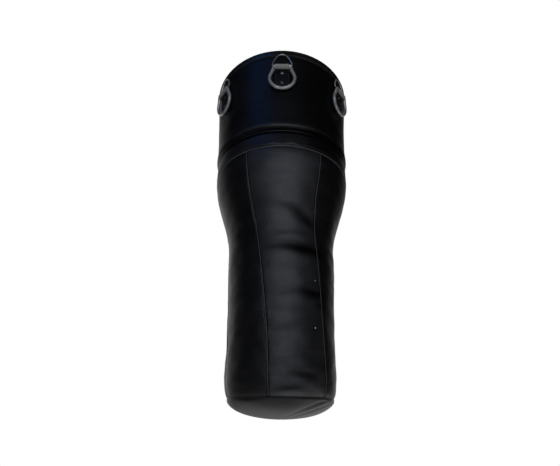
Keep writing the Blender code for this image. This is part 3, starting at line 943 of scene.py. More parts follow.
@dataclass
class BagForm:
    """The bag's shape, the same as its solids, with the relief that the leather takes over the filling."""

    # Heights above the foot seam
    bar_height: float = 0.917
    shoulder: float = 0.643
    hem: float = 0.695
    rim: float = 1.0
    # Outside radii, from the rim down to the foot seam
    rim_radius: float = 0.2262
    cuff_foot_radius: float = 0.2108
    shoulder_radius: float = 0.2095
    waist_radius: float = 0.1557
    foot_radius: float = 0.1463
    foot_seam_radius: float = 0.1365
    # How the panels turn in at the foot, and how deep the cap is
    foot_tuck: float = 0.0030
    foot_turn: float = 0.060
    foot_depth: float = 0.047
    # The leather, the strip over the rim, and the gaps between pieces
    leather: float = 0.0025
    seam_dip: float = 0.0020
    band_dip: float = 0.0026
    binding: float = 0.0020
    skin_gap: float = 0.0005
    touch_gap: float = 0.0003
    thread_lift: float = 0.0001
    # Where the barrel widens, and how strongly the cuff's flare bends
    barrel_low: float = 0.120
    barrel_high: float = 0.420
    swell_low: float = 0.390
    flare_power: float = 1.15
    # How the panels' seams drift sideways below a height
    seam_start: float = math.radians(1.6)
    seam_drift: float = math.radians(17.0)
    drift_top: float = 0.520
    drift_power: float = 1.3
    # How far the shoulder seam's dip reaches, and how deep the leather's unevenness is
    dip_reach: float = 0.0045
    pillow: float = 0.0021
    ripple: float = 0.0012
    fine: float = 0.00022
    creases: tuple[Crease, ...] = (
        # The folds with their painted shade, and places with painted shade and a painted highlight, that show
        # in the photograph
        Crease(25.0, 0.447, 23.0, 0.0150, 0.0023, -0.0009, 0.70),
        Crease(9.0, 0.470, 22.0, 0.0080, 0.0012, -0.0005, 0.40),
        Crease(25.0, 0.364, 33.0, 0.0150, 0.0034, -0.0001, 0.98),
        Crease(-4.0, 0.371, 26.0, 0.0120, 0.0016, 0.0001, 0.40),
        Crease(8.0, 0.412, 34.0, 0.0150, 0.0010, 0.0002, 0.10),
        Crease(35.0, 0.246, 22.0, 0.0125, 0.0026, 0.0, 0.82),
        Crease(10.0, 0.250, 34.0, 0.0130, 0.0014, 0.0002, 0.26),
        Crease(41.0, 0.216, 11.0, 0.0070, 0.0012, 0.0, 0.45),
        Crease(22.0, 0.049, 20.0, 0.0095, 0.0020, 0.0, 0.68),
        Crease(8.0, 0.020, 20.0, 0.0055, 0.0008, 0.0002, 0.60),
        # No fold: a patch of painted shade
        Crease(-36.0, 0.018, 38.0, 0.0190, 0.0, 0.0, 0.58),
        # No fold: a painted highlight
        Crease(13.0, 0.004, 17.0, 0.0080, 0.0, 0.0, -0.55),
        # Shallow ones between them
        Crease(4.0, 0.318, 34.0, 0.0170, 0.0012, 0.0003, 0.10),
        Crease(14.0, 0.200, 32.0, 0.0170, 0.0012, -0.0002, 0.10),
        Crease(6.0, 0.140, 30.0, 0.0170, 0.0012, 0.0002, 0.10),
        Crease(20.0, 0.092, 28.0, 0.0140, 0.0011, -0.0002, 0.12),
        Crease(-34.0, 0.420, 20.0, 0.0160, 0.0012, 0.0008, 0.12),
        Crease(-42.0, 0.330, 20.0, 0.0160, 0.0012, -0.0006, 0.12),
        Crease(-40.0, 0.245, 19.0, 0.0150, 0.0011, 0.0004, 0.12),
        Crease(-38.0, 0.150, 19.0, 0.0160, 0.0010, 0.0005, 0.12),
        # Guessed ones at the sides and the back
        Crease(76.0, 0.400, 20.0, 0.0150, 0.0012, 0.0010, 0.2),
        Crease(83.0, 0.300, 20.0, 0.0140, 0.0010, -0.0007, 0.2),
        Crease(134.0, 0.430, 22.0, 0.0150, 0.0020, -0.0008),
        Crease(142.0, 0.260, 20.0, 0.0140, 0.0016, 0.0006),
        Crease(190.0, 0.410, 24.0, 0.0150, 0.0024, 0.0009),
        Crease(203.0, 0.180, 20.0, 0.0140, 0.0014, -0.0004),
        Crease(250.0, 0.440, 20.0, 0.0150, 0.0016, 0.0007),
        Crease(262.0, 0.320, 21.0, 0.0140, 0.0012, -0.0008),
    )

    def level(self, height: float) -> float:
        """World Z of a height above the foot seam."""
        return height - self.bar_height

    def panel_radius(self, height: float) -> float:
        """Outside radius of the barrel at the crown of a panel.

        Args:
            height: metres above the foot seam.

        Returns:
            The radius in metres.
        """
        radius = self.foot_radius
        radius += (self.waist_radius - self.foot_radius) * ease(height, self.barrel_low, self.barrel_high)
        radius += (self.shoulder_radius - self.waist_radius) * ease(height, self.swell_low, self.shoulder)
        if height < self.foot_turn:
            rest = 1.0 - max(height, 0.0) / self.foot_turn
            turn_in = self.foot_radius - self.foot_seam_radius + self.foot_tuck
            radius -= turn_in * (1.0 - math.sqrt(1.0 - rest * rest))
        return radius

    def cuff_radius(self, height: float) -> float:
        """Outside radius of the flared cuff at a height, without its hem."""
        t = min(max((height - self.hem) / (self.rim - self.hem), 0.0), 1.0)
        return self.cuff_foot_radius + (self.rim_radius - self.cuff_foot_radius) * t**self.flare_power

    def seam_angle(self, index: float, height: float) -> float:
        """Angle of a panel's middle, which drifts sideways towards the foot.

        Args:
            index: 0 for the front panel, then round towards +X; a seam is at a half index.
            height: metres above the foot seam.

        Returns:
            The angle round from the front, in radians.
        """
        t = min(max((self.drift_top - height) / self.drift_top, 0.0), 1.0)
        drift = self.seam_start + self.seam_drift * math.sin(0.5 * math.pi * t) ** self.drift_power
        return 2.0 * HALF_PANEL * index + drift

    def shoulder_dip(self, height: float) -> float:
        """How far the shoulder seam draws the leather in at a height just below it."""
        return self.band_dip * bell(self.shoulder - height, self.dip_reach)

    def relief(self, angle: float, height: float) -> float:
        """How far the filled leather of the barrel stands from its plain form.

        Args:
            angle: radians round from the front.
            height: metres above the foot seam.

        Returns:
            The move outwards in metres.
        """
        spot = Vector((math.sin(angle), -math.cos(angle), 0.0))
        pillow = noise.noise(Vector((spot.x * 1.5, spot.y * 1.5, height * 13.0)))
        ripple = noise.noise(Vector((spot.x * 3.4 + 7.0, spot.y * 3.4, height * 34.0)))
        fine = noise.noise(Vector((spot.x * 9.0, spot.y * 9.0 + 3.0, height * 60.0)))
        degrees = math.degrees(angle)
        pressed = sum(crease.press(degrees, height) for crease in self.creases)
        near_ends = ease(height, 0.0, 0.04) * (1.0 - 0.7 * ease(height, 0.56, self.shoulder))
        return near_ends * (self.pillow * pillow + self.ripple * ripple + self.fine * fine + pressed)

    def painted_shade_at(self, angle: float, height: float) -> float:
        """How much shade the folds paint on a place on the barrel, up to 1, and below 0 where they paint a
        highlight.
        """
        degrees = math.degrees(angle)
        return min(1.0, sum(crease.painted_shade_at(degrees, height) for crease in self.creases))


@dataclass
class Panels:
    """The six tall leather panels, the piping in the seams between them, and two flecks of lint."""

    form: BagForm
    columns: int = 56
    rows: int = 300
    low: float = 0.0019
    top_gap: float = 0.0003
    seam_gap: float = 0.00015
    # The relief at the seams
    crown: float = 0.0008
    groove_half: float = 0.0026
    groove_share: float = 0.55
    pucker_depth: float = 0.00035
    pucker_reach: float = 0.012
    pucker_pitch: float = 0.017
    # Painted shade on the leather, and a painted highlight above the foot seam
    deepest_painted_shade: float = 0.97
    seam_painted_shade: float = 0.75
    seam_painted_shade_reach: float = 0.0032
    foot_painted_highlight: float = 0.7
    # The piping in the seams
    piping_radius: float = 0.0008
    piping_seat_share: float = 0.75
    piping_low: float = 0.0035
    piping_top_gap: float = 0.0020
    piping_steps: int = 180
    # Degrees round from the front, height above the foot seam and size of each fleck
    flecks: tuple[Triple, ...] = ((35.2, 0.158, 0.0017), (34.9, 0.278, 0.0010))

    def build(self, wardrobe: Wardrobe) -> None:
        """Builds the panels, their piping and the flecks.

        Args:
            wardrobe: the materials.
        """
        finish_piece("lint_flecks", self.fleck_mesh(), wardrobe.lint)
        for number in range(1, 7):
            mesh = self.panel_mesh(number - 1)
            name = f"leather_panel_{number}"
            finish = wardrobe.front if number == 1 else wardrobe.leather
            panel = finish_piece(name, mesh, finish, stands_for=[f"lower_panel_{number}"])
            seam = self.seam_line(number - 0.5)
            cord = tube_mesh(seam, self.piping_radius, 8, False)
            finish_piece(f"seam_piping_{number}", cord, wardrobe.piping)

    def fleck_mesh(self) -> Mesh:
        """Flattened flecks of lint that lie on the front panel.

        Returns:
            Their mesh.
        """
        form = self.form
        bm = bmesh.new()
        for degrees, height, size in self.flecks:
            angle = math.radians(degrees)
            share = (angle - form.seam_angle(0, height)) / HALF_PANEL
            radius = self.radius_at(share, angle, height) + 0.2 * size
            spot = round_spot(radius, angle, form.level(height))
            turn = Matrix.Rotation(angle, 4, "Z") @ Matrix.Diagonal((size, 0.35 * size, 0.8 * size, 1.0))
            bmesh.ops.create_icosphere(bm, subdivisions=2, radius=1.0, matrix=Matrix.Translation(spot) @ turn)
        for vert in bm.verts:
            vert.co *= 1.0 + 0.0012 * noise.noise(vert.co * 900.0)
        return mesh_of(bm)

    def radius_at(self, share: float, angle: float, height: float) -> float:
        """Outside radius of a panel at a share of its half width.

        Args:
            share: -1 at one seam, 0 in the middle and 1 at the other.
            angle: radians round from the front.
            height: metres above the foot seam.

        Returns:
            The radius in metres.
        """
        form = self.form
        radius = form.panel_radius(height) - self.crown * share * share
        inward = (1.0 - abs(share)) * HALF_PANEL * radius
        pucker = 0.5 + 0.5 * math.sin(FULL_TURN * height / self.pucker_pitch + 3.0 * math.sin(height * 40.0))
        groove = bell(inward, self.groove_half)
        radius -= self.groove_share * form.seam_dip * groove
        radius -= self.pucker_depth * pucker * bell(inward, self.pucker_reach)
        radius -= form.shoulder_dip(height)
        return radius + form.relief(angle, height) * (1.0 - groove)

    def panel_mesh(self, index: int) -> Mesh:
        """One panel, from the foot seam to the shoulder seam.

        Args:
            index: 0 for the front panel, then round towards +X.

        Returns:
            Its mesh, with the leather's thickness.
        """
        form = self.form
        bm = bmesh.new()
        painted_shade = bm.verts.layers.float.new(PAINTED_SHADE)
        bmesh.ops.create_grid(bm, x_segments=self.columns, y_segments=self.rows, size=1.0)
        high = form.shoulder - self.top_gap
        for vert in bm.verts:
            share = math.sin(0.5 * math.pi * vert.co.x)
            rise = 0.5 + 0.5 * vert.co.y
            height = self.low + (high - self.low) * rise
            middle = form.seam_angle(index, height)
            angle = middle + share * (HALF_PANEL - self.seam_gap / form.panel_radius(height))
            radius = self.radius_at(share, angle, height)
            inward = (1.0 - abs(share)) * HALF_PANEL * radius
            # Painted shade in the folds and along the seams, less a painted highlight just above the foot seam
            # in front
            seam_shade = self.seam_painted_shade * bell(inward, self.seam_painted_shade_reach)
            shine = self.foot_painted_highlight * bell(math.degrees(angle) - 9.0, 11.0) * bell(height - 0.0075, 0.0045)
            vert[painted_shade] = min(self.deepest_painted_shade, form.painted_shade_at(angle, height) + seam_shade) - shine
            vert.co = round_spot(radius, angle, form.level(height))
        bmesh.ops.recalc_face_normals(bm, faces=bm.faces)
        centres = [(face.normal, face.calc_center_median()) for face in bm.faces]
        if sum(normal.xy.dot(centre.xy) for normal, centre in centres) < 0.0:
            bmesh.ops.reverse_faces(bm, faces=bm.faces)
        bmesh.ops.solidify(bm, geom=bm.faces, thickness=form.leather)
        return mesh_of(bm)

    def seam_line(self, index: float) -> list[Vector]:
        """The centre line of the piping in a seam.

        Args:
            index: the seam's half index.

        Returns:
            Points from the foot up to the shoulder.
        """
        form = self.form
        points = []
        span = form.shoulder - self.piping_top_gap - self.piping_low
        for step in range(self.piping_steps + 1):
            height = self.piping_low + span * step / self.piping_steps
            radius = form.panel_radius(height) - self.piping_seat_share * form.seam_dip
            radius += 0.5 * self.piping_radius - form.shoulder_dip(height)
            points.append(round_spot(radius, form.seam_angle(index, height), form.level(height)))
        return points


@dataclass
class Head:
    """The cuff, the shoulder band under it, the binding on its rim and their piping and stitches."""

    form: BagForm
    steps: int = 288
    # The steps and the turned hem of the cuff, and the band's steps
    crest_height: float = 0.0212
    crest_roll: float = 0.0030
    roll_reach: float = 0.045
    flank_steps: int = 63
    roll_steps: int = 24
    lining_steps: int = 11
    lining_lift: float = 0.0004
    tuck_gap: float = 0.0005
    tuck_share: float = 0.62
    band_steps: int = 60
    band_slack_depth: float = 0.0008
    # Where the rivets draw the cuff in, and how uneven it is
    draw_depth: float = 0.0016
    draw_height: float = 0.845
    draw_reach: float = 0.036
    draw_degrees: float = 9.5
    stretch: float = 0.0026
    stretch_reach: float = 0.09
    rim_margin: float = 0.03
    # The band's tongue and its two small gathers
    tongue: float = 0.010
    puff_depth: float = 0.0013
    puff_places: tuple[float, float] = (-7.2, 7.6)
    puff_half: float = 6.6
    puff_width: float = 0.0016
    # The binding's legs and edges
    binding_out: float = 0.024
    binding_in: float = 0.0125
    binding_corner: float = 0.0014
    binding_edge: float = 0.0009
    # The piping and the stitch rows
    piping_radius: float = 0.0015
    piping_stand: float = 0.0009
    piping_steps: int = 360
    rim_stitch_drop: float = 0.0185
    rim_stitch_seat: float = 0.019
    low_stitch_rise: float = 0.0085
    low_stitch_share: float = 0.16

    def build(self, wardrobe: Wardrobe) -> None:
        """Builds the head's pieces.

        Args:
            wardrobe: the materials.
        """
        form = self.form
        cuff = finish_piece(
            "head_cuff", self.cuff_mesh(), wardrobe.leather, stands_for=["upper_cuff"]
        )
        band = finish_piece(
            "shoulder_leather", self.band_mesh(), wardrobe.leather,
            stands_for=["shoulder_band"],
        )
        finish_piece(
            "rim_trim", self.binding_mesh(), wardrobe.binding, stands_for=["rim_binding"]
        )
        radius = form.shoulder_radius - form.band_dip + self.piping_stand
        ring = round_line(radius, form.level(form.shoulder), self.piping_steps)
        cord = tube_mesh(ring, self.piping_radius, 8, True)
        finish_piece("shoulder_piping", cord, wardrobe.piping)
        stitches = StitchRow()
        rim_out = form.cuff_radius(form.rim - self.rim_stitch_seat) + form.skin_gap + form.binding
        low_out = self.band_radius(self.low_stitch_share)
        rows = {
            "rim_stitches": (rim_out + form.thread_lift, form.rim - self.rim_stitch_drop),
            "shoulder_stitches": (low_out + form.thread_lift, form.shoulder + self.low_stitch_rise),
        }
        for name, (radius, height) in rows.items():
            places = stitches.round_places(radius, form.level(height))
            finish_piece(name, stitches.mesh(places), wardrobe.thread)

    def sway(self, vert: bmesh.types.BMVert, amount: float, fade: Callable[[float], float]) -> None:
        """Moves a vertex out or in by the soft unevenness of stretched leather.

        Args:
            vert: the vertex.
            amount: the most that it moves.
            fade: the share of that at a height above the foot seam.
        """
        flat = flat_part(vert.co)
        if flat.length < 0.01:
            return
        out = flat.normalized()
        height = vert.co.z + self.form.bar_height
        wave = noise.noise(Vector((out.x * 1.8 + 4.0, out.y * 1.8, height * 7.0)))
        wave += 0.35 * noise.noise(Vector((out.x * 4.5, out.y * 4.5 + 9.0, height * 24.0)))
        vert.co += out * (amount * wave * fade(height))

    def draw_in(self, vert: bmesh.types.BMVert) -> None:
        """Moves a vertex of the cuff in where a hanger's rivets draw the leather.

        Args:
            vert: the vertex.
        """
        turns = [(side_degrees(vert.co) - hanger + 180.0) % 360.0 - 180.0 for hanger in HANGER_DEGREES]
        near = max(bell(turn, self.draw_degrees) for turn in turns)
        pull = near * bell(vert.co.z + self.form.bar_height - self.draw_height, self.draw_reach)
        vert.co -= flat_part(vert.co).normalized() * (self.draw_depth * pull)

    def cuff_slack(self, height: float) -> float:
        """How much of its unevenness the cuff has at a height: none near the rim and little at the hem.

        Args:
            height: metres above the foot seam.

        Returns:
            The share, 0 to 1.
        """
        fixed, low = self.form.rim - self.rim_margin, self.form.hem
        free = 1.0 - ease(height, fixed - self.stretch_reach, fixed)
        return free * (0.3 + 0.7 * ease(height, low, low + 0.06))

    def band_slack(self, height: float) -> float:
        """The share of the band's unevenness at a height, none at its two seams."""
        line, hem = self.form.shoulder, self.form.hem
        return ease(height, line, line + 0.02) * (1.0 - ease(height, hem - 0.02, hem - 0.002))

    def hem_shade(self, side: float, down: float) -> float:
        """The cuff's painted shade: painted shade under the crest of its hem with a painted highlight on the
        crest, and painted shade over its front, deeper on the right.

        Args:
            side: degrees round from the front.
            down: how far below the crest of the hem, as a share of the roll.

        Returns:
            The value.
        """
        # The hem's painted shade is deepest from just left of the front to about 30 degrees right
        depth = 0.60 + 0.34 * ease(side, -42.0, -4.0) - 0.14 * ease(side, 30.0, 60.0)
        fold = 0.72 * ease(down, 0.02, 0.30) + 0.28 * ease(down, 0.30, 0.80)
        # Painted highlight along the hem's crest
        ridge_highlight = 1.2 * bell(down + 0.02, 0.13) * bell(side - 2.0, 44.0)
        ridge_highlight += 0.3 * bell(down + 0.25, 0.3) * bell(side - 4.0, 48.0)
        # Painted shade over the cuff's front, more of it right of the middle
        dull = (0.34 + 0.24 * ease(side, -8.0, 20.0)) * (1.0 - ease(abs(side), 52.0, 76.0))
        return max(depth * fold, dull) - ridge_highlight

    def cuff_mesh(self) -> Mesh:
        """The flared cuff, whose lower edge is folded under into a soft roll.

        Returns:
            Its mesh.
        """
        form = self.form
        low, high = form.hem, form.rim - form.binding - form.touch_gap
        outer = []
        crest = low + self.crest_height
        for step in range(self.flank_steps + 1):
            height = high - (high - crest) * step / self.flank_steps
            swell = self.crest_roll * ease(height, crest + self.roll_reach, crest) ** 1.5
            outer.append((form.cuff_radius(height) + swell, form.level(height)))
        top = outer[-1][0]
        under = top - form.cuff_radius(low) + form.leather - self.tuck_gap
        for step in range(1, self.roll_steps + 1):
            t = step / self.roll_steps
            early, late = self.tuck_share * ease(t, -0.15, 0.45), (1.0 - self.tuck_share) * t * t
            outer.append((top - under * (early + late), form.level(crest - self.crest_height * t)))
        inner = [(form.cuff_radius(low) - form.leather, form.level(low + self.lining_lift))]
        for step in range(1, self.lining_steps + 1):
            height = low + self.lining_lift + (high - low - self.lining_lift) * step / self.lining_steps
            inner.append((form.cuff_radius(height) - form.leather, form.level(height)))
        bm = turned(outer + inner, self.steps, True)
        painted_shade = bm.verts.layers.float.new(PAINTED_SHADE)
        # Paints shade and a highlight on the cuff's outer face
        for vert in bm.verts:
            down = (form.level(crest) - vert.co.z) / self.crest_height
            if vert.co.xy.length > form.cuff_radius(low) - 0.6 * form.leather:
                vert[painted_shade] = self.hem_shade(side_degrees(vert.co), down)
        for vert in bm.verts:
            if vert.co.xy.length > form.cuff_radius(vert.co.z + form.bar_height) - 0.5 * form.leather:
                self.sway(vert, self.stretch, self.cuff_slack)
                self.draw_in(vert)
        return mesh_of(bm)

    def band_radius(self, share: float) -> float:
        """Outside radius of the shoulder band.

        Args:
            share: 0 at the shoulder seam and 1 under the cuff's hem.

        Returns:
            The radius in metres.
        """
        form = self.form
        crown = max(0.0, math.sin(math.pi * min(max(share, 0.0), 1.0))) ** 0.35
        return form.shoulder_radius - form.band_dip * (1.0 - crown)

    def puff(self, side: float, height: float, middle: float) -> float:
        """How strongly a small gather over the shoulder seam lifts a place of the band.

        Args:
            side: degrees round from the front.
            height: metres above the foot seam.
            middle: where the gather is, in degrees.

        Returns:
            The strength, 0 to 1.
        """
        across = (side - middle) / self.puff_half
        if abs(across) > 1.0:
            return 0.0
        line = self.form.shoulder + 0.0105 - 0.0045 * across * across
        return (1.0 - across**4) * bell(height - line, self.puff_width)

    def band_mesh(self) -> Mesh:
        """The shoulder band, with its tongue behind the cuff.

        Returns:
            Its mesh.
        """
        form = self.form
        tongue = form.hem + self.tongue
        low, high = form.shoulder + form.touch_gap, form.hem - form.touch_gap
        outer = [(form.cuff_radius(tongue) - form.leather - form.skin_gap, form.level(tongue))]
        for step in range(self.band_steps + 1):
            share = step / self.band_steps
            outer.append((self.band_radius(1.0 - share), form.level(high + (low - high) * share)))
        inner = [(radius - form.leather, z) for radius, z in outer]
        bm = turned(outer + inner[::-1], self.steps, True)
        painted_shade = bm.verts.layers.float.new(PAINTED_SHADE)
        for vert in bm.verts:
            if vert.co.xy.length > self.band_radius(0.5) - 1.6 * form.leather:
                height = vert.co.z + form.bar_height
                side = side_degrees(vert.co)
                puff = max(self.puff(side, height, middle) for middle in self.puff_places)
                vert.co += flat_part(vert.co).normalized() * (self.puff_depth * puff)
                # Painted shade under the cuff's hem and on the band's right, with a painted highlight on the
                # two gathers
                shade = 0.90 * ease(height, form.hem - 0.0120, form.hem - 0.0050)
                right = 0.45 * ease(side, 8.0, 34.0) * (1.0 - ease(side, 60.0, 84.0))
                vert[painted_shade] = max(shade, right) - 0.5 * puff
        for vert in bm.verts:
            self.sway(vert, self.band_slack_depth, self.band_slack)
        return mesh_of(bm)

    def binding_mesh(self) -> Mesh:
        """The strip folded over the rim, softly rounded, with flat legs and a level top.

        Returns:
            Its mesh.
        """
        form = self.form
        rim = form.cuff_radius(form.rim)
        outside = rim + form.skin_gap + form.binding
        inside = rim - form.leather - form.skin_gap - form.binding
        outer_low, inner_low = form.rim - self.binding_out, form.rim - self.binding_in
        slope = (rim - form.cuff_radius(outer_low)) / self.binding_out
        top = form.level(form.rim)
        corner, edge = self.binding_corner, self.binding_edge
        # The level top and its rounded outer corner
        profile = [(inside + corner, top), (outside - corner, top)]
        profile += [
            (outside - corner * (1.0 - math.sin(a)), top - corner * (1.0 - math.cos(a)))
            for a in (math.radians(d) for d in (22.5, 45.0, 67.5, 90.0))
        ]
        # The outer leg and its inner face
        low = form.level(outer_low)
        foot = outside - slope * self.binding_out
        profile += [(foot, low + edge), (foot - 0.3 * edge, low + 0.3 * edge), (foot - edge, low)]
        profile += [(foot - form.binding, low), (outside - form.binding, top - form.binding)]
        profile += [(inside + form.binding, top - form.binding)]
        # The inner leg and its corner
        back = inside - slope * self.binding_in
        profile += [(back + form.binding, form.level(inner_low)), (back, form.level(inner_low))]
        profile += [(inside, top - corner), (inside + 0.3 * corner, top - 0.3 * corner)]
        return mesh_of(turned(profile, self.steps, True))


@dataclass
class Foot:
    """The domed cap and its piping in the foot seam."""

    form: BagForm
    seam_gap: float = 0.0019
    piping_radius: float = 0.0014
    # The two folds: degrees round from the front, and share of the cap's depth
    fold_slope: float = 0.017
    first_fold: tuple[float, float] = (37.0, 0.32)
    second_fold: tuple[float, float] = (42.0, 0.56)
    fold_half: float = 22.0
    steps: int = 240
    dome_steps: int = 48
    lining_every: int = 4
    gather: float = 0.0007
    slack: float = 0.0018
    first_depth: float = 0.0042
    second_depth: float = 0.0036

    def build(self, wardrobe: Wardrobe) -> None:
        """Builds the foot's pieces.

        Args:
            wardrobe: the materials.
        """
        cap = finish_piece(
            "foot_dome", self.cap_mesh(), wardrobe.leather, stands_for=["foot_cap"]
        )
        form = self.form
        ring = round_line(form.foot_seam_radius - 0.5 * form.leather, form.level(0.0), self.steps)
        cord = tube_mesh(ring, self.piping_radius, 8, True)
        finish_piece("foot_piping", cord, wardrobe.binding, stands_for=["foot_welt"])

    def fold(self, place: tuple[float, float], angle: float, depth: float, width: float) -> float:
        """How strongly a sloping fold of the cap reaches a place, 0 to 1.

        Args:
            place: the fold's middle, in degrees round from the front and as a share of the dome's depth.
            angle: degrees round from the front.
            depth: the share of the dome's depth below its seam.
            width: the fold's half width, as a share of the depth.

        Returns:
            The strength.
        """
        off = depth - place[1] + self.fold_slope * (angle - place[0])
        return bell(off, width) * bell(angle - place[0], self.fold_half)

    def cap_mesh(self) -> Mesh:
        """The dome, with soft gathers under its seam and two slack folds at one side.

        Returns:
            Its mesh.
        """
        form = self.form
        high, low = -self.seam_gap, -form.foot_depth
        outer, inner = [], []
        for step in range(self.dome_steps + 1):
            angle = 0.5 * math.pi * step / self.dome_steps
            reach = math.cos(angle) if step < self.dome_steps else 0.0
            drop = math.sin(angle)
            outer.append((form.foot_seam_radius * reach, form.level(high + (low - high) * drop)))
            if step % self.lining_every == 0:
                thin = (form.foot_seam_radius - form.leather) * reach
                inner.append((thin, form.level(high + (low + form.leather - high) * drop)))
        bm = turned(inner[::-1] + outer, self.steps, False)
        painted_shade = bm.verts.layers.float.new(PAINTED_SHADE)
        middle = form.level(high)
        for vert in bm.verts:
            flat = flat_part(vert.co)
            depth = (middle - vert.co.z) / form.foot_depth
            if flat.length < 0.004 or depth < 0.02:
                continue
            angle = side_degrees(flat)
            spot = flat.normalized()
            gather = self.gather * noise.noise(Vector((spot.x * 11.0, spot.y * 11.0, depth * 1.5)))
            gather *= bell(depth - 0.22, 0.25)
            calm = ease(flat.length, 0.0, 0.07)
            slack = self.slack * calm * noise.noise(Vector((spot.x * 1.7 + 2.0, spot.y * 1.7, depth * 2.2)))
            first = self.fold(self.first_fold, angle, depth, 0.085)
            second = self.fold(self.second_fold, angle, depth, 0.080)
            fold = -self.first_depth * first - self.second_depth * second
            # A painted highlight over the cap's right side, and painted shade in its two folds
            painted_sheen = ease(angle, 2.0, 46.0) * (1.0 - ease(angle, 96.0, 130.0))
            vert[painted_shade] = 0.6 * max(first, second) - 0.9 * painted_sheen
            away = (flat + Vector((0.0, 0.0, vert.co.z - middle - 0.02))).normalized()
            vert.co += away * ((gather + slack + fold) * ease(depth, 0.02, 0.16))
        return mesh_of(bm)


@dataclass
class TopCover:
    """The leather cover inside the rim, its stitches, and the zip's tapes and teeth."""

    form: BagForm
    length: float = 0.300
    slot: float = 0.014
    rim_gap: float = 0.0002
    tooth_pitch: float = 0.0026
    stitch_inset: float = 0.004
    edge_round: float = 0.0007
    tape_round: float = 0.0003
    tooth_round: float = 0.0002

    def build(self, wardrobe: Wardrobe) -> None:
        """Builds the cover, its stitches, and the zip's tapes and teeth.

        Args:
            wardrobe: the materials.
        """
        cover = finish_piece(
            "cover_leather", self.cover_mesh(), wardrobe.leather, stands_for=["top_cover"]
        )
        rows = StitchRow(pitch=0.0055, length=0.0040)
        places = []
        top = Vector(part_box("top_cover")[1]).z + self.form.thread_lift
        count = round(self.length / rows.pitch)
        for side in (-1.0, 1.0):
            y = side * (0.5 * self.slot + self.stitch_inset)
            for index in range(count):
                x = -0.5 * self.length + self.length * (index + 0.5) / count
                places.append((Vector((x, y, top)), Vector((1.0, 0.0, 0.0))))
        finish_piece("cover_stitches", rows.mesh(places), wardrobe.thread)
        for side, sign in (("front", -1.0), ("back", 1.0)):
            node = f"zip_tape_{side}"
            strip = self.tape_mesh(node)
            finish_piece(f"woven_tape_{side}", strip, wardrobe.tape, stands_for=[node])
            node = f"zip_teeth_{side}"
            row = self.teeth_mesh(node, sign)
            finish_piece(f"moulded_teeth_{side}", row, wardrobe.teeth, stands_for=[node])

    def cover_mesh(self) -> Mesh:
        """The disc with the zip's slot in it, its edges softened.

        Returns:
            Its mesh.
        """
        low, high = (Vector(corner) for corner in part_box("top_cover"))
        bm = bmesh.new()
        bmesh.ops.create_circle(bm, cap_ends=True, segments=192, radius=high.x - self.rim_gap)
        half, side = 0.5 * self.length, 0.5 * self.slot
        along, across = Vector((1, 0, 0)), Vector((0, 1, 0))
        for normal, spot in ((along, -half), (along, half), (across, -side), (across, side)):
            bmesh.ops.bisect_plane(
                bm, geom=bm.verts[:] + bm.edges[:] + bm.faces[:], plane_co=normal * spot, plane_no=normal
            )
        inner = [
            face for face in bm.faces
            if abs(face.calc_center_median().x) < half and abs(face.calc_center_median().y) < side
        ]
        bmesh.ops.delete(bm, geom=inner, context="FACES")
        raise_faces(bm, high.z - low.z)
        bmesh.ops.translate(bm, verts=bm.verts, vec=(0.0, 0.0, low.z))
        top = high.z - SAME_LEVEL
        rims = [edge for edge in sharp_edges(bm) if min(vert.co.z for vert in edge.verts) > top]
        soften(bm, rims, self.edge_round, 3)
        return mesh_of(bm)

    def tape_mesh(self, node: str) -> Mesh:
        """A zip tape in its node's place, with a UV map in metres.

        Args:
            node: the CAD node that gives its place.

        Returns:
            Its mesh.
        """
        low, high = (Vector(corner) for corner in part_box(node))
        bm = bmesh.new()
        bmesh.ops.create_cube(bm, size=1.0)
        bmesh.ops.scale(bm, vec=high - low, verts=bm.verts)
        bmesh.ops.translate(bm, vec=0.5 * (low + high), verts=bm.verts)
        soften(bm, bm.edges, self.tape_round, 2)
        layer = bm.loops.layers.uv.new("UVMap")
        for face in bm.faces:
            for loop in face.loops:
                loop[layer].uv = (loop.vert.co.y, loop.vert.co.x)
        return mesh_of(bm)

    def teeth_mesh(self, node: str, sign: float) -> Mesh:
        """A row of moulded teeth in its node's place, set half a pitch off the other row.

        Args:
            node: the CAD node that gives its place.
            sign: -1 for the front row and 1 for the back one.

        Returns:
            Its mesh.
        """
        low, high = (Vector(corner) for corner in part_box(node))
        height = high.z - low.z
        bm = bmesh.new()
        count = int((high.x - low.x) / self.tooth_pitch) - 1
        for index in range(count):
            x = low.x + self.tooth_pitch * (index + (0.9 if sign > 0 else 1.4))
            y = 0.5 * (low.y + high.y)
            place = Matrix.Translation((x, y, low.z + 0.5 * height))
            size = Matrix.Diagonal((0.5 * self.tooth_pitch, high.y - low.y, height, 1.0))
            bmesh.ops.create_cube(bm, size=1.0, matrix=place @ size)
        soften(bm, bm.edges, self.tooth_round, 1)
        return mesh_of(bm)


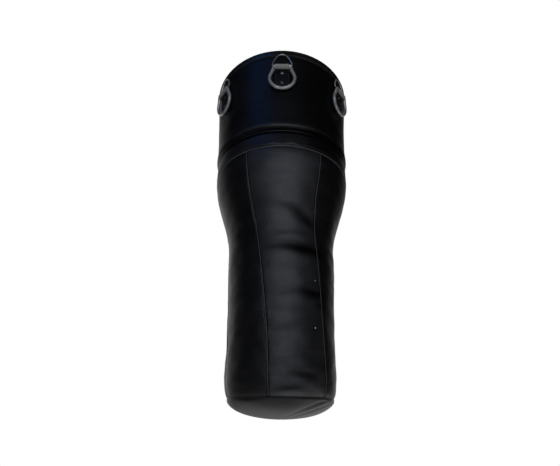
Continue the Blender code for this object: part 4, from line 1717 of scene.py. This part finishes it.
@dataclass
class Hanger:
    """One of the six hangers, modelled at the ring's bar with the front at -Y, then turned into place."""

    form: BagForm
    number: int
    angle: float
    standoff: float = 0.0140
    # The heavy ring
    ring_wire: float = 0.0050
    ring_neck: float = 0.0262
    ring_half: float = 0.0375
    ring_widest: float = 0.0395
    ring_drop: float = 0.0750
    ring_lean: float = math.radians(8.0)
    ring_corner: float = 0.0045
    # The thin loop above it
    loop_wire: float = 0.00225
    loop_half: float = 0.0304
    loop_height: float = 0.0500
    loop_power: float = 1.6
    loop_corner: float = 0.005
    loop_rise: float = 0.0120
    loop_setback: float = 0.0040
    # The webbing, folded round both bars
    strap_width: float = 0.0420
    strap: float = 0.0016
    clearance: float = 0.0006
    throat: float = 0.0085
    leg: float = 0.0520
    wrap_stop: float = math.radians(-82.0)
    wrap_steps: int = 12
    # The steps of a bow
    flank_steps: int = 16
    arc_steps: int = 48
    bend_steps: int = 8
    # The leather tab, its lip and its stitches
    tab_width: float = 0.0460
    tab: float = 0.0030
    tab_top: float = 0.0098
    tab_length: float = 0.0560
    tab_round: float = 0.0008
    lip: float = 0.0009
    lip_half: float = 0.0206
    stitch_inset: float = 0.0034
    # The rivets
    upper_drop: float = 0.0150
    lower_drop: float = 0.0520
    rivet_radius: float = 0.0055
    rivet_height: float = 0.0020
    shank_radius: float = 0.0020
    shank_length: float = 0.0033

    @property
    def bar_radius(self) -> float:
        """How far out the ring's bar is."""
        return self.form.cuff_radius(self.form.bar_height) + self.standoff

    @property
    def place(self) -> Matrix:
        """From the hanger's own frame to the world."""
        spot = round_spot(self.bar_radius, self.angle, 0.0)
        return Matrix.Translation(spot) @ Matrix.Rotation(self.angle, 4, "Z")

    def leather_out(self, up: float) -> float:
        """How far out the cuff stands at a height from the bar, in the hanger's frame."""
        return self.form.cuff_radius(self.form.bar_height + up) - self.bar_radius

    def webbing_out(self, up: float) -> float:
        """How far out the webbing's two layers stand at a height from the bar."""
        return self.leather_out(up) + self.form.skin_gap + 2.0 * self.strap

    def build(self, wardrobe: Wardrobe) -> None:
        """Builds the hanger's pieces.

        Args:
            wardrobe: the materials.
        """
        n = self.number
        finish_piece(
            f"forged_ring_{n}", self.ring_mesh(), wardrobe.steel,
            Body.RING.numbered(n), [f"d_ring_{n}"],
        )
        finish_piece(
            f"wire_crown_{n}", self.loop_mesh(), wardrobe.wire,
            Body.LOOP.numbered(n), [f"wire_loop_{n}"],
        )
        finish_piece(
            f"webbing_{n}", self.strap_mesh(), wardrobe.webbing,
            stands_for=[f"hanger_strap_{n}"], crease=60.0,
        )
        finish_piece(
            f"leather_tab_{n}", self.tab_mesh(), wardrobe.tab, stands_for=[f"hanger_tab_{n}"]
        )
        finish_piece(f"tab_lip_{n}", self.lip_mesh(), wardrobe.tab)
        finish_piece(f"tab_stitches_{n}", self.tab_stitches(), wardrobe.thread)
        for word, drop in (("upper", self.upper_drop), ("lower", self.lower_drop)):
            finish_piece(
                f"{word}_rivet_head_{n}", self.rivet_mesh(drop), wardrobe.rivet,
                stands_for=[f"{word}_rivet_{n}"],
            )

    def bow(
        self, neck: float, half: float, widest: float, reach: float, power: float, corner: float
    ) -> list[tuple[float, float]]:
        """A bow that stands on a straight bar, with rounded corners.

        Args:
            neck: half the bar's length between the bow's feet.
            half: the bow's half width at its widest.
            widest: how far from the bar it is widest, 0 for a bow that only narrows.
            reach: how far the bow stands from the bar.
            power: 1 for an arc that is an ellipse, more for a narrower one.
            corner: the radius of the corners.

        Returns:
            Points of (across, along), all round.
        """
        side = []
        if widest > 0.0:
            shares = [index / self.flank_steps for index in range(1, self.flank_steps)]
            side = [(neck + (half - neck) * ease(s, 0.0, 1.0), widest * s) for s in shares]
        arc = []
        for index in range(self.arc_steps + 1):
            turn = math.pi * index / self.arc_steps
            along = widest + (reach - widest) * max(0.0, math.sin(turn)) ** power
            arc.append((half * math.cos(turn), along))
        bow = side + arc + [(-across, along) for across, along in reversed(side)]
        bow = [spot for spot in bow if spot[1] > corner]
        first = bow[0]
        bend = []
        for index in range(self.bend_steps + 1):
            t = index / self.bend_steps
            a, b, c = (1 - t) ** 2, 2 * t * (1 - t), t * t
            bend.append((a * (neck - corner) + b * neck + c * first[0], c * first[1]))
        return bend[:-1] + bow + [(-x, y) for x, y in bend[-2::-1]]

    def ring_mesh(self) -> Mesh:
        """The heavy D-ring, leaning in with its bottom against the cuff.

        Returns:
            Its mesh.
        """
        corner = self.ring_corner
        outline = self.bow(self.ring_neck, self.ring_half, self.ring_widest, self.ring_drop, 1.0, corner)
        mesh = tube_mesh([Vector((x, 0.0, -y)) for x, y in outline], self.ring_wire, 20, True)
        mesh.transform(self.place @ Matrix.Rotation(self.ring_lean, 4, "X"))
        return mesh

    def loop_mesh(self) -> Mesh:
        """The thin wire loop, leaning back on the rim's binding.

        Returns:
            Its mesh.
        """
        form = self.form
        half, corner = self.loop_half, self.loop_corner
        outline = self.bow(half, half, 0.0, self.loop_height, self.loop_power, corner)
        mesh = tube_mesh([Vector((x, 0.0, y)) for x, y in outline], self.loop_wire, 12, True)
        binding_out = self.leather_out(self.loop_rise + self.loop_height) + form.skin_gap + form.binding
        stand_off = -self.loop_setback - binding_out - form.touch_gap - self.loop_wire
        lean = math.asin(stand_off / self.loop_height)
        stand = Matrix.Translation((0.0, self.loop_setback, self.loop_rise)) @ Matrix.Rotation(-lean, 4, "X")
        mesh.transform(self.place @ stand)
        return mesh

    def strap_line(self) -> list[Vector]:
        """The middle of the webbing seen from the side, from its back leg round both bars to its front leg.

        Returns:
            Points of (0, -out, up).
        """
        ring = self.ring_wire + self.clearance + 0.5 * self.strap
        loop = self.loop_wire + self.clearance + 0.5 * self.strap
        back = self.leather_out(-self.throat) + self.form.skin_gap + 0.5 * self.strap
        foot = self.leather_out(-self.leg) + self.form.skin_gap + 0.5 * self.strap
        centre = (-self.loop_setback, self.loop_rise)
        heading = math.atan2(centre[1], centre[0])
        spread = math.acos((ring - loop) / math.hypot(*centre))
        spots = [(foot, -self.leg), (0.5 * (foot + back), -0.5 * (self.leg + self.throat))]
        spots += [(back, -self.throat)]
        spots += [(0.55 * back + 0.45 * (centre[0] - loop), 0.25 * centre[1])]
        for index in range(self.wrap_steps + 1):
            turn = heading + spread - 2.0 * spread * index / self.wrap_steps
            spots.append((centre[0] + loop * math.cos(turn), centre[1] + loop * math.sin(turn)))
        leave = heading - spread
        for index in range(self.wrap_steps + 1):
            turn = leave + (self.wrap_stop - leave) * index / self.wrap_steps
            spots.append((ring * math.cos(turn), ring * math.sin(turn)))
        spots += [(back + self.strap, -self.throat - 0.0004), (foot + self.strap, -self.leg)]
        return [Vector((0.0, -out, up)) for out, up in spots]

    def strap_mesh(self) -> Mesh:
        """The webbing, with its thickness and a UV map in metres.

        Returns:
            Its mesh.
        """
        line = self.strap_line()
        lengths = [0.0]
        for first, second in zip(line, line[1:]):
            lengths.append(lengths[-1] + (second - first).length)
        bm = bmesh.new()
        bmesh.ops.create_grid(bm, x_segments=8, y_segments=len(line) - 1, size=1.0)
        layer = bm.loops.layers.uv.new("UVMap")
        rows = {}
        for vert in bm.verts:
            row = grid_row(vert, len(line))
            across = 0.5 * self.strap_width * vert.co.x
            rows[vert] = (across, lengths[row])
            vert.co = line[row] + Vector((across, 0.0, 0.0))
        for face in bm.faces:
            for loop in face.loops:
                loop[layer].uv = rows[loop.vert]
        bmesh.ops.recalc_face_normals(bm, faces=bm.faces)
        return thickened(mesh_of(bm, self.place), self.strap)

    def tab_place(self, drop: float, lift: float) -> Matrix:
        """From the tab's face, drawn in XY with +Z outwards, to the world.

        Args:
            drop: how far below the ring's bar the drawing's origin is.
            lift: how far it stands off the webbing.

        Returns:
            The matrix.
        """
        low = -self.tab_top - self.tab_length
        slope = math.atan2(self.leather_out(-self.tab_top) - self.leather_out(low), self.tab_length)
        turn = Matrix.Rotation(slope, 4, "X") @ Matrix.Rotation(0.5 * math.pi, 4, "X")
        out = self.webbing_out(-drop) + lift
        return self.place @ Matrix.Translation((0.0, -out, -drop)) @ turn

    def tab_outline(self, inset: float, count: int) -> list[Vector]:
        """The tab's outline, drawn in by an inset.

        Args:
            inset: how far inside the edge it runs.
            count: how many steps the round lower end has.

        Returns:
            Points from the top left corner down and round to the top right one.
        """
        half = 0.5 * self.tab_width - inset
        straight = self.tab_length - 0.5 * self.tab_width
        points = [Vector((-half, -inset, 0.0)), Vector((-half, -straight, 0.0))]
        for index in range(1, count):
            turn = math.pi + math.pi * index / count
            points.append(Vector((half * math.cos(turn), -straight + half * math.sin(turn), 0.0)))
        return points + [Vector((half, -straight, 0.0)), Vector((half, -inset, 0.0))]

    def tab_mesh(self) -> Mesh:
        """The leather tab, with softened edges.

        Returns:
            Its mesh.
        """
        bm = bmesh.new()
        bm.faces.new([bm.verts.new(spot) for spot in self.tab_outline(0.0, 20)])
        raise_faces(bm, self.tab)
        rims = []
        for edge in sharp_edges(bm):
            first, second = edge.verts
            if abs(first.co.z - second.co.z) < SAME_LEVEL:
                rims.append(edge)
        soften(bm, rims, self.tab_round, 3)
        return mesh_of(bm, self.tab_place(self.tab_top, self.form.touch_gap))

    def lip_mesh(self) -> Mesh:
        """The tab's upper end, turned out under the webbing towards the ring's bar.

        Returns:
            Its mesh.
        """
        top = self.webbing_out(-self.tab_top) + self.form.touch_gap
        line = [(top + 0.2 * self.tab, -0.0112), (top + 0.6 * self.tab, -0.0104)]
        line += [(top + self.tab + 0.0012, -0.0099), (-0.0032, -0.0093), (-0.0012, -0.0089)]
        line += [(0.0002, -0.0086)]
        bm = bmesh.new()
        bmesh.ops.create_grid(bm, x_segments=12, y_segments=len(line) - 1, size=1.0)
        for vert in bm.verts:
            row = grid_row(vert, len(line))
            out, up = line[row]
            narrow = 1.0 - 0.06 * (row / (len(line) - 1)) ** 3
            vert.co = (self.lip_half * vert.co.x * narrow, -out, up)
        bmesh.ops.recalc_face_normals(bm, faces=bm.faces)
        return thickened(mesh_of(bm, self.place), self.lip)

    def tab_stitches(self) -> Mesh:
        """The stitches round the tab's edge.

        Returns:
            Their mesh.
        """
        row = StitchRow(pitch=0.0046, length=0.0033, radius=0.00045)
        line = self.tab_outline(self.stitch_inset, 24)
        lift = Vector((0.0, 0.0, self.tab + self.form.thread_lift))
        places, carried = [], 0.5 * row.pitch
        for first, second in zip(line, line[1:]):
            span = (second - first).length
            along = (second - first).normalized()
            while carried < span:
                places.append((first + along * carried + lift, along))
                carried += row.pitch
            carried -= span
        return row.mesh(places, self.tab_place(self.tab_top, self.form.touch_gap))

    def rivet_mesh(self, drop: float) -> Mesh:
        """A domed rivet head with a fine step at its edge, on the tab's face.

        Args:
            drop: how far below the ring's bar it sits.

        Returns:
            Its mesh.
        """
        radius, height = self.rivet_radius, self.rivet_height
        shank, low = self.shank_radius, -self.shank_length
        profile = [(0.0, height)]
        for step in range(1, 8):
            turn = math.radians(11.0 * step)
            profile.append((radius * 0.94 * math.sin(turn), height * (0.28 + 0.72 * math.cos(turn))))
        profile += [(radius * 0.97, height * 0.42), (radius, height * 0.3), (radius, 0.0)]
        profile += [(shank, 0.0), (shank, low), (0.0, low)]
        return mesh_of(turned(profile, 32, False), self.tab_place(drop, 2.0 * self.form.touch_gap + self.tab))


def dress_nodes(frame: dict, wardrobe: Wardrobe) -> None:
    """Gives the CAD nodes that stay their finishes.

    Args:
        wardrobe: the materials.
    """
    finishes = {
        "filling": wardrobe.filling,
        "foot_pad": wardrobe.foam,
        "zip_slider": wardrobe.zip_metal,
        "slider_bridge": wardrobe.zip_metal,
        "zip_pull": wardrobe.zip_metal,
    }
    for name, material in finishes.items():
        node = frame["nodes"][name]
        node.data.materials.clear()
        node.data.materials.append(material)


# The studio


@dataclass(frozen=True)
class Lamp:
    """A soft rectangular lamp: its place, the point it faces, its size, its power in watts and its colour."""

    name: str
    spot: Triple
    aim: Triple
    width: float
    height: float
    power: float
    tint: Triple = (1.0, 1.0, 1.0)

    def build(self) -> None:
        """Adds the lamp to the scene."""
        data = bpy.data.lights.new(self.name, "AREA")
        data.shape = "RECTANGLE"
        data.size, data.size_y = self.width, self.height
        data.energy = self.power
        data.color = self.tint
        lamp = bpy.data.objects.new(self.name, data)
        lamp.location = self.spot
        lamp.rotation_euler = (Vector(self.aim) - Vector(self.spot)).to_track_quat("-Z", "Y").to_euler()
        bpy.context.scene.collection.objects.link(lamp)


@dataclass
class Studio:
    """Camera, lamps, world and floor."""

    form: BagForm
    # The camera's place, aim and lens
    distance: float = 0.9927
    below_seam: float = 0.0369
    aside: float = -0.0032
    pitch: float = 24.0
    roll: float = 0.35
    lens: float = 23.14
    shift_y: float = 0.0393
    sensor: float = 36.0
    # The world as mirrored and as diffuse light
    mirror_range: tuple[float, float] = (0.44, 0.97)
    mirror_light: tuple[float, float] = (0.005, 1.15)
    diffuse_light: float = 0.30
    # The floor
    floor_radius: float = 2.3
    floor_drop: float = 0.42
    floor_dark: Triple = (0.84, 0.84, 0.84)
    floor_pale: Triple = (0.88, 0.88, 0.88)
    lamps: tuple[Lamp, ...] = (
        Lamp(
            "front_soft", spot=(0.26, -2.4, -0.10), aim=(0.0, 0.0, -0.55), width=2.3, height=1.05,
            power=13.6, tint=(0.83, 0.87, 1.0),
        ),
        Lamp(
            "left_soft", spot=(-1.9, -1.5, 0.9), aim=(0.0, 0.0, -0.15), width=1.0, height=1.0,
            power=0.55, tint=(0.80, 0.84, 1.0),
        ),
        Lamp(
            "high_cool_soft", spot=(-1.15, -1.75, 1.75), aim=(0.0, 0.0, -0.10), width=1.2, height=0.9,
            power=3.4, tint=(0.10, 0.30, 1.0),
        ),
        Lamp(
            "overhead_soft", spot=(0.2, -0.3, 2.2), aim=(0.0, 0.0, -0.2), width=1.2, height=1.2, power=1.8
        ),
    )

    def build(self) -> None:
        """Builds the studio."""
        self.camera()
        self.world()
        self.floor()
        for lamp in self.lamps:
            lamp.build()
        bpy.context.scene.view_settings.view_transform = "Standard"

    def camera(self) -> None:
        """The photograph's camera: under the foot's level, looking up."""
        data = bpy.data.cameras.new("camera")
        data.lens = self.lens
        data.sensor_width = self.sensor
        data.sensor_fit = "HORIZONTAL"
        data.shift_y = self.shift_y
        data.clip_start = 0.05
        data.clip_end = 60.0
        camera = bpy.data.objects.new("camera", data)
        tilt = Matrix.Rotation(math.radians(90.0 + self.pitch), 4, "X")
        camera.location = (self.aside, -self.distance, self.form.level(-self.below_seam))
        camera.rotation_euler = (tilt @ Matrix.Rotation(math.radians(self.roll), 4, "Z")).to_euler()
        bpy.context.scene.collection.objects.link(camera)
        bpy.context.scene.camera = camera

    def world(self) -> None:
        """A pale world: white to the camera, plain as a lamp, and in mirrors white behind and dim in front."""
        world = bpy.data.worlds.new("studio")
        world.use_nodes = True
        bpy.context.scene.world = world
        sheet = NodeSheet(world.node_tree)
        background = world.node_tree.nodes["Background"]
        background.inputs["Color"].default_value = (1.0, 1.0, 1.0, 1.0)
        where = sheet.add("ShaderNodeTexCoord")
        parts = sheet.add("ShaderNodeSeparateXYZ")
        sheet.link(where.outputs["Generated"], parts.inputs[0])
        leftward = sheet.math("MULTIPLY", parts.outputs["X"], -0.15)
        facing = sheet.math("ADD", parts.outputs["Y"], leftward)
        behind = sheet.remap(facing, self.mirror_range, self.mirror_light)
        seen, mirror = sheet.rays()
        strength = sheet.math("MULTIPLY", mirror, behind)
        diffuse = sheet.math("MULTIPLY", sheet.math("SUBTRACT", 1.0, mirror), self.diffuse_light)
        strength = sheet.math("ADD", strength, diffuse)
        lit = sheet.math("MULTIPLY", strength, sheet.math("SUBTRACT", 1.0, seen))
        sheet.link(sheet.math("ADD", lit, seen), background.inputs["Strength"])

    def floor(self) -> None:
        """A pale round floor below the hanging bag, out of the photograph's view."""
        bm = bmesh.new()
        bmesh.ops.create_circle(bm, cap_ends=True, segments=96, radius=self.floor_radius)
        mesh = mesh_of(bm, Matrix.Translation((0.0, 0.0, self.form.level(-self.floor_drop))))
        mesh.materials.append(self.floor_material())
        floor = bpy.data.objects.new("studio_floor", mesh)
        bpy.context.scene.collection.objects.link(floor)

    def floor_material(self) -> Material:
        """The floor's finish: pale, white towards its edge, glowing as painted light in reflections near the
        bag, and clear when seen from beneath.

        Returns:
            The material.
        """
        material, sheet, shader, where = begin_material("studio_floor")
        cloud = sheet.add("ShaderNodeTexNoise", Scale=1.5, Detail=2.0)
        sheet.link(where, cloud.inputs["Vector"])
        tone = sheet.mix(cloud.outputs["Fac"], self.floor_dark, self.floor_pale)
        sheet.link(tone, shader.inputs["Base Color"])
        shader.inputs["Roughness"].default_value = 0.9
        shader.inputs["Specular IOR Level"].default_value = 0.1
        flat = sheet.add("ShaderNodeVectorMath", operation="MULTIPLY")
        sheet.link(where, flat.inputs[0])
        flat.inputs[1].default_value = (1.0, 1.0, 0.0)
        reach = sheet.add("ShaderNodeVectorMath", operation="LENGTH")
        sheet.link(flat.outputs[0], reach.inputs[0])
        seen, mirror = sheet.rays()
        edge = (0.25 * self.floor_radius, 0.85 * self.floor_radius)
        seen = sheet.math("MULTIPLY", seen, sheet.remap(reach.outputs["Value"], edge, (0.62, 1.0)))
        # A glow that only reflections see, strongest near the bag and towards its front: painted light in the
        # leather's reflections
        spots = sheet.add("ShaderNodeSeparateXYZ")
        sheet.link(where, spots.inputs[0])
        side = sheet.math("MULTIPLY", spots.outputs["X"], -0.45)
        near = sheet.remap(sheet.math("ADD", reach.outputs["Value"], side), (0.45, 1.20), (1.0, 0.0))
        under = sheet.math("MULTIPLY", near, sheet.remap(spots.outputs["Y"], (-0.85, 0.10), (0.10, 0.62)))
        white_and_mirror_glow = sheet.math("ADD", seen, sheet.math("MULTIPLY", mirror, under), clamp=True)
        plain = sheet.add("ShaderNodeEmission", Strength=1.0)
        blend = sheet.blend(white_and_mirror_glow, shader.outputs[0], plain.outputs[0])
        below = sheet.add("ShaderNodeNewGeometry").outputs["Backfacing"]
        glass = sheet.add("ShaderNodeBsdfTransparent")
        clear = sheet.blend(below, blend, glass.outputs[0])
        sheet.link(clear, material.node_tree.nodes["Material Output"].inputs["Surface"])
        return material


def main() -> None:
    """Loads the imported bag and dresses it."""
    logging.basicConfig(level=logging.INFO, format="%(message)s")
    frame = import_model()
    wardrobe = Wardrobe()
    form = BagForm()
    Panels(form).build(wardrobe)
    Head(form).build(wardrobe)
    Foot(form).build(wardrobe)
    TopCover(form).build(wardrobe)
    for number, degrees in enumerate(HANGER_DEGREES, start=1):
        Hanger(form, number, math.radians(degrees)).build(wardrobe)
    dress_nodes(frame, wardrobe)
    Studio(form).build()


if __name__ == "__main__":
    main()
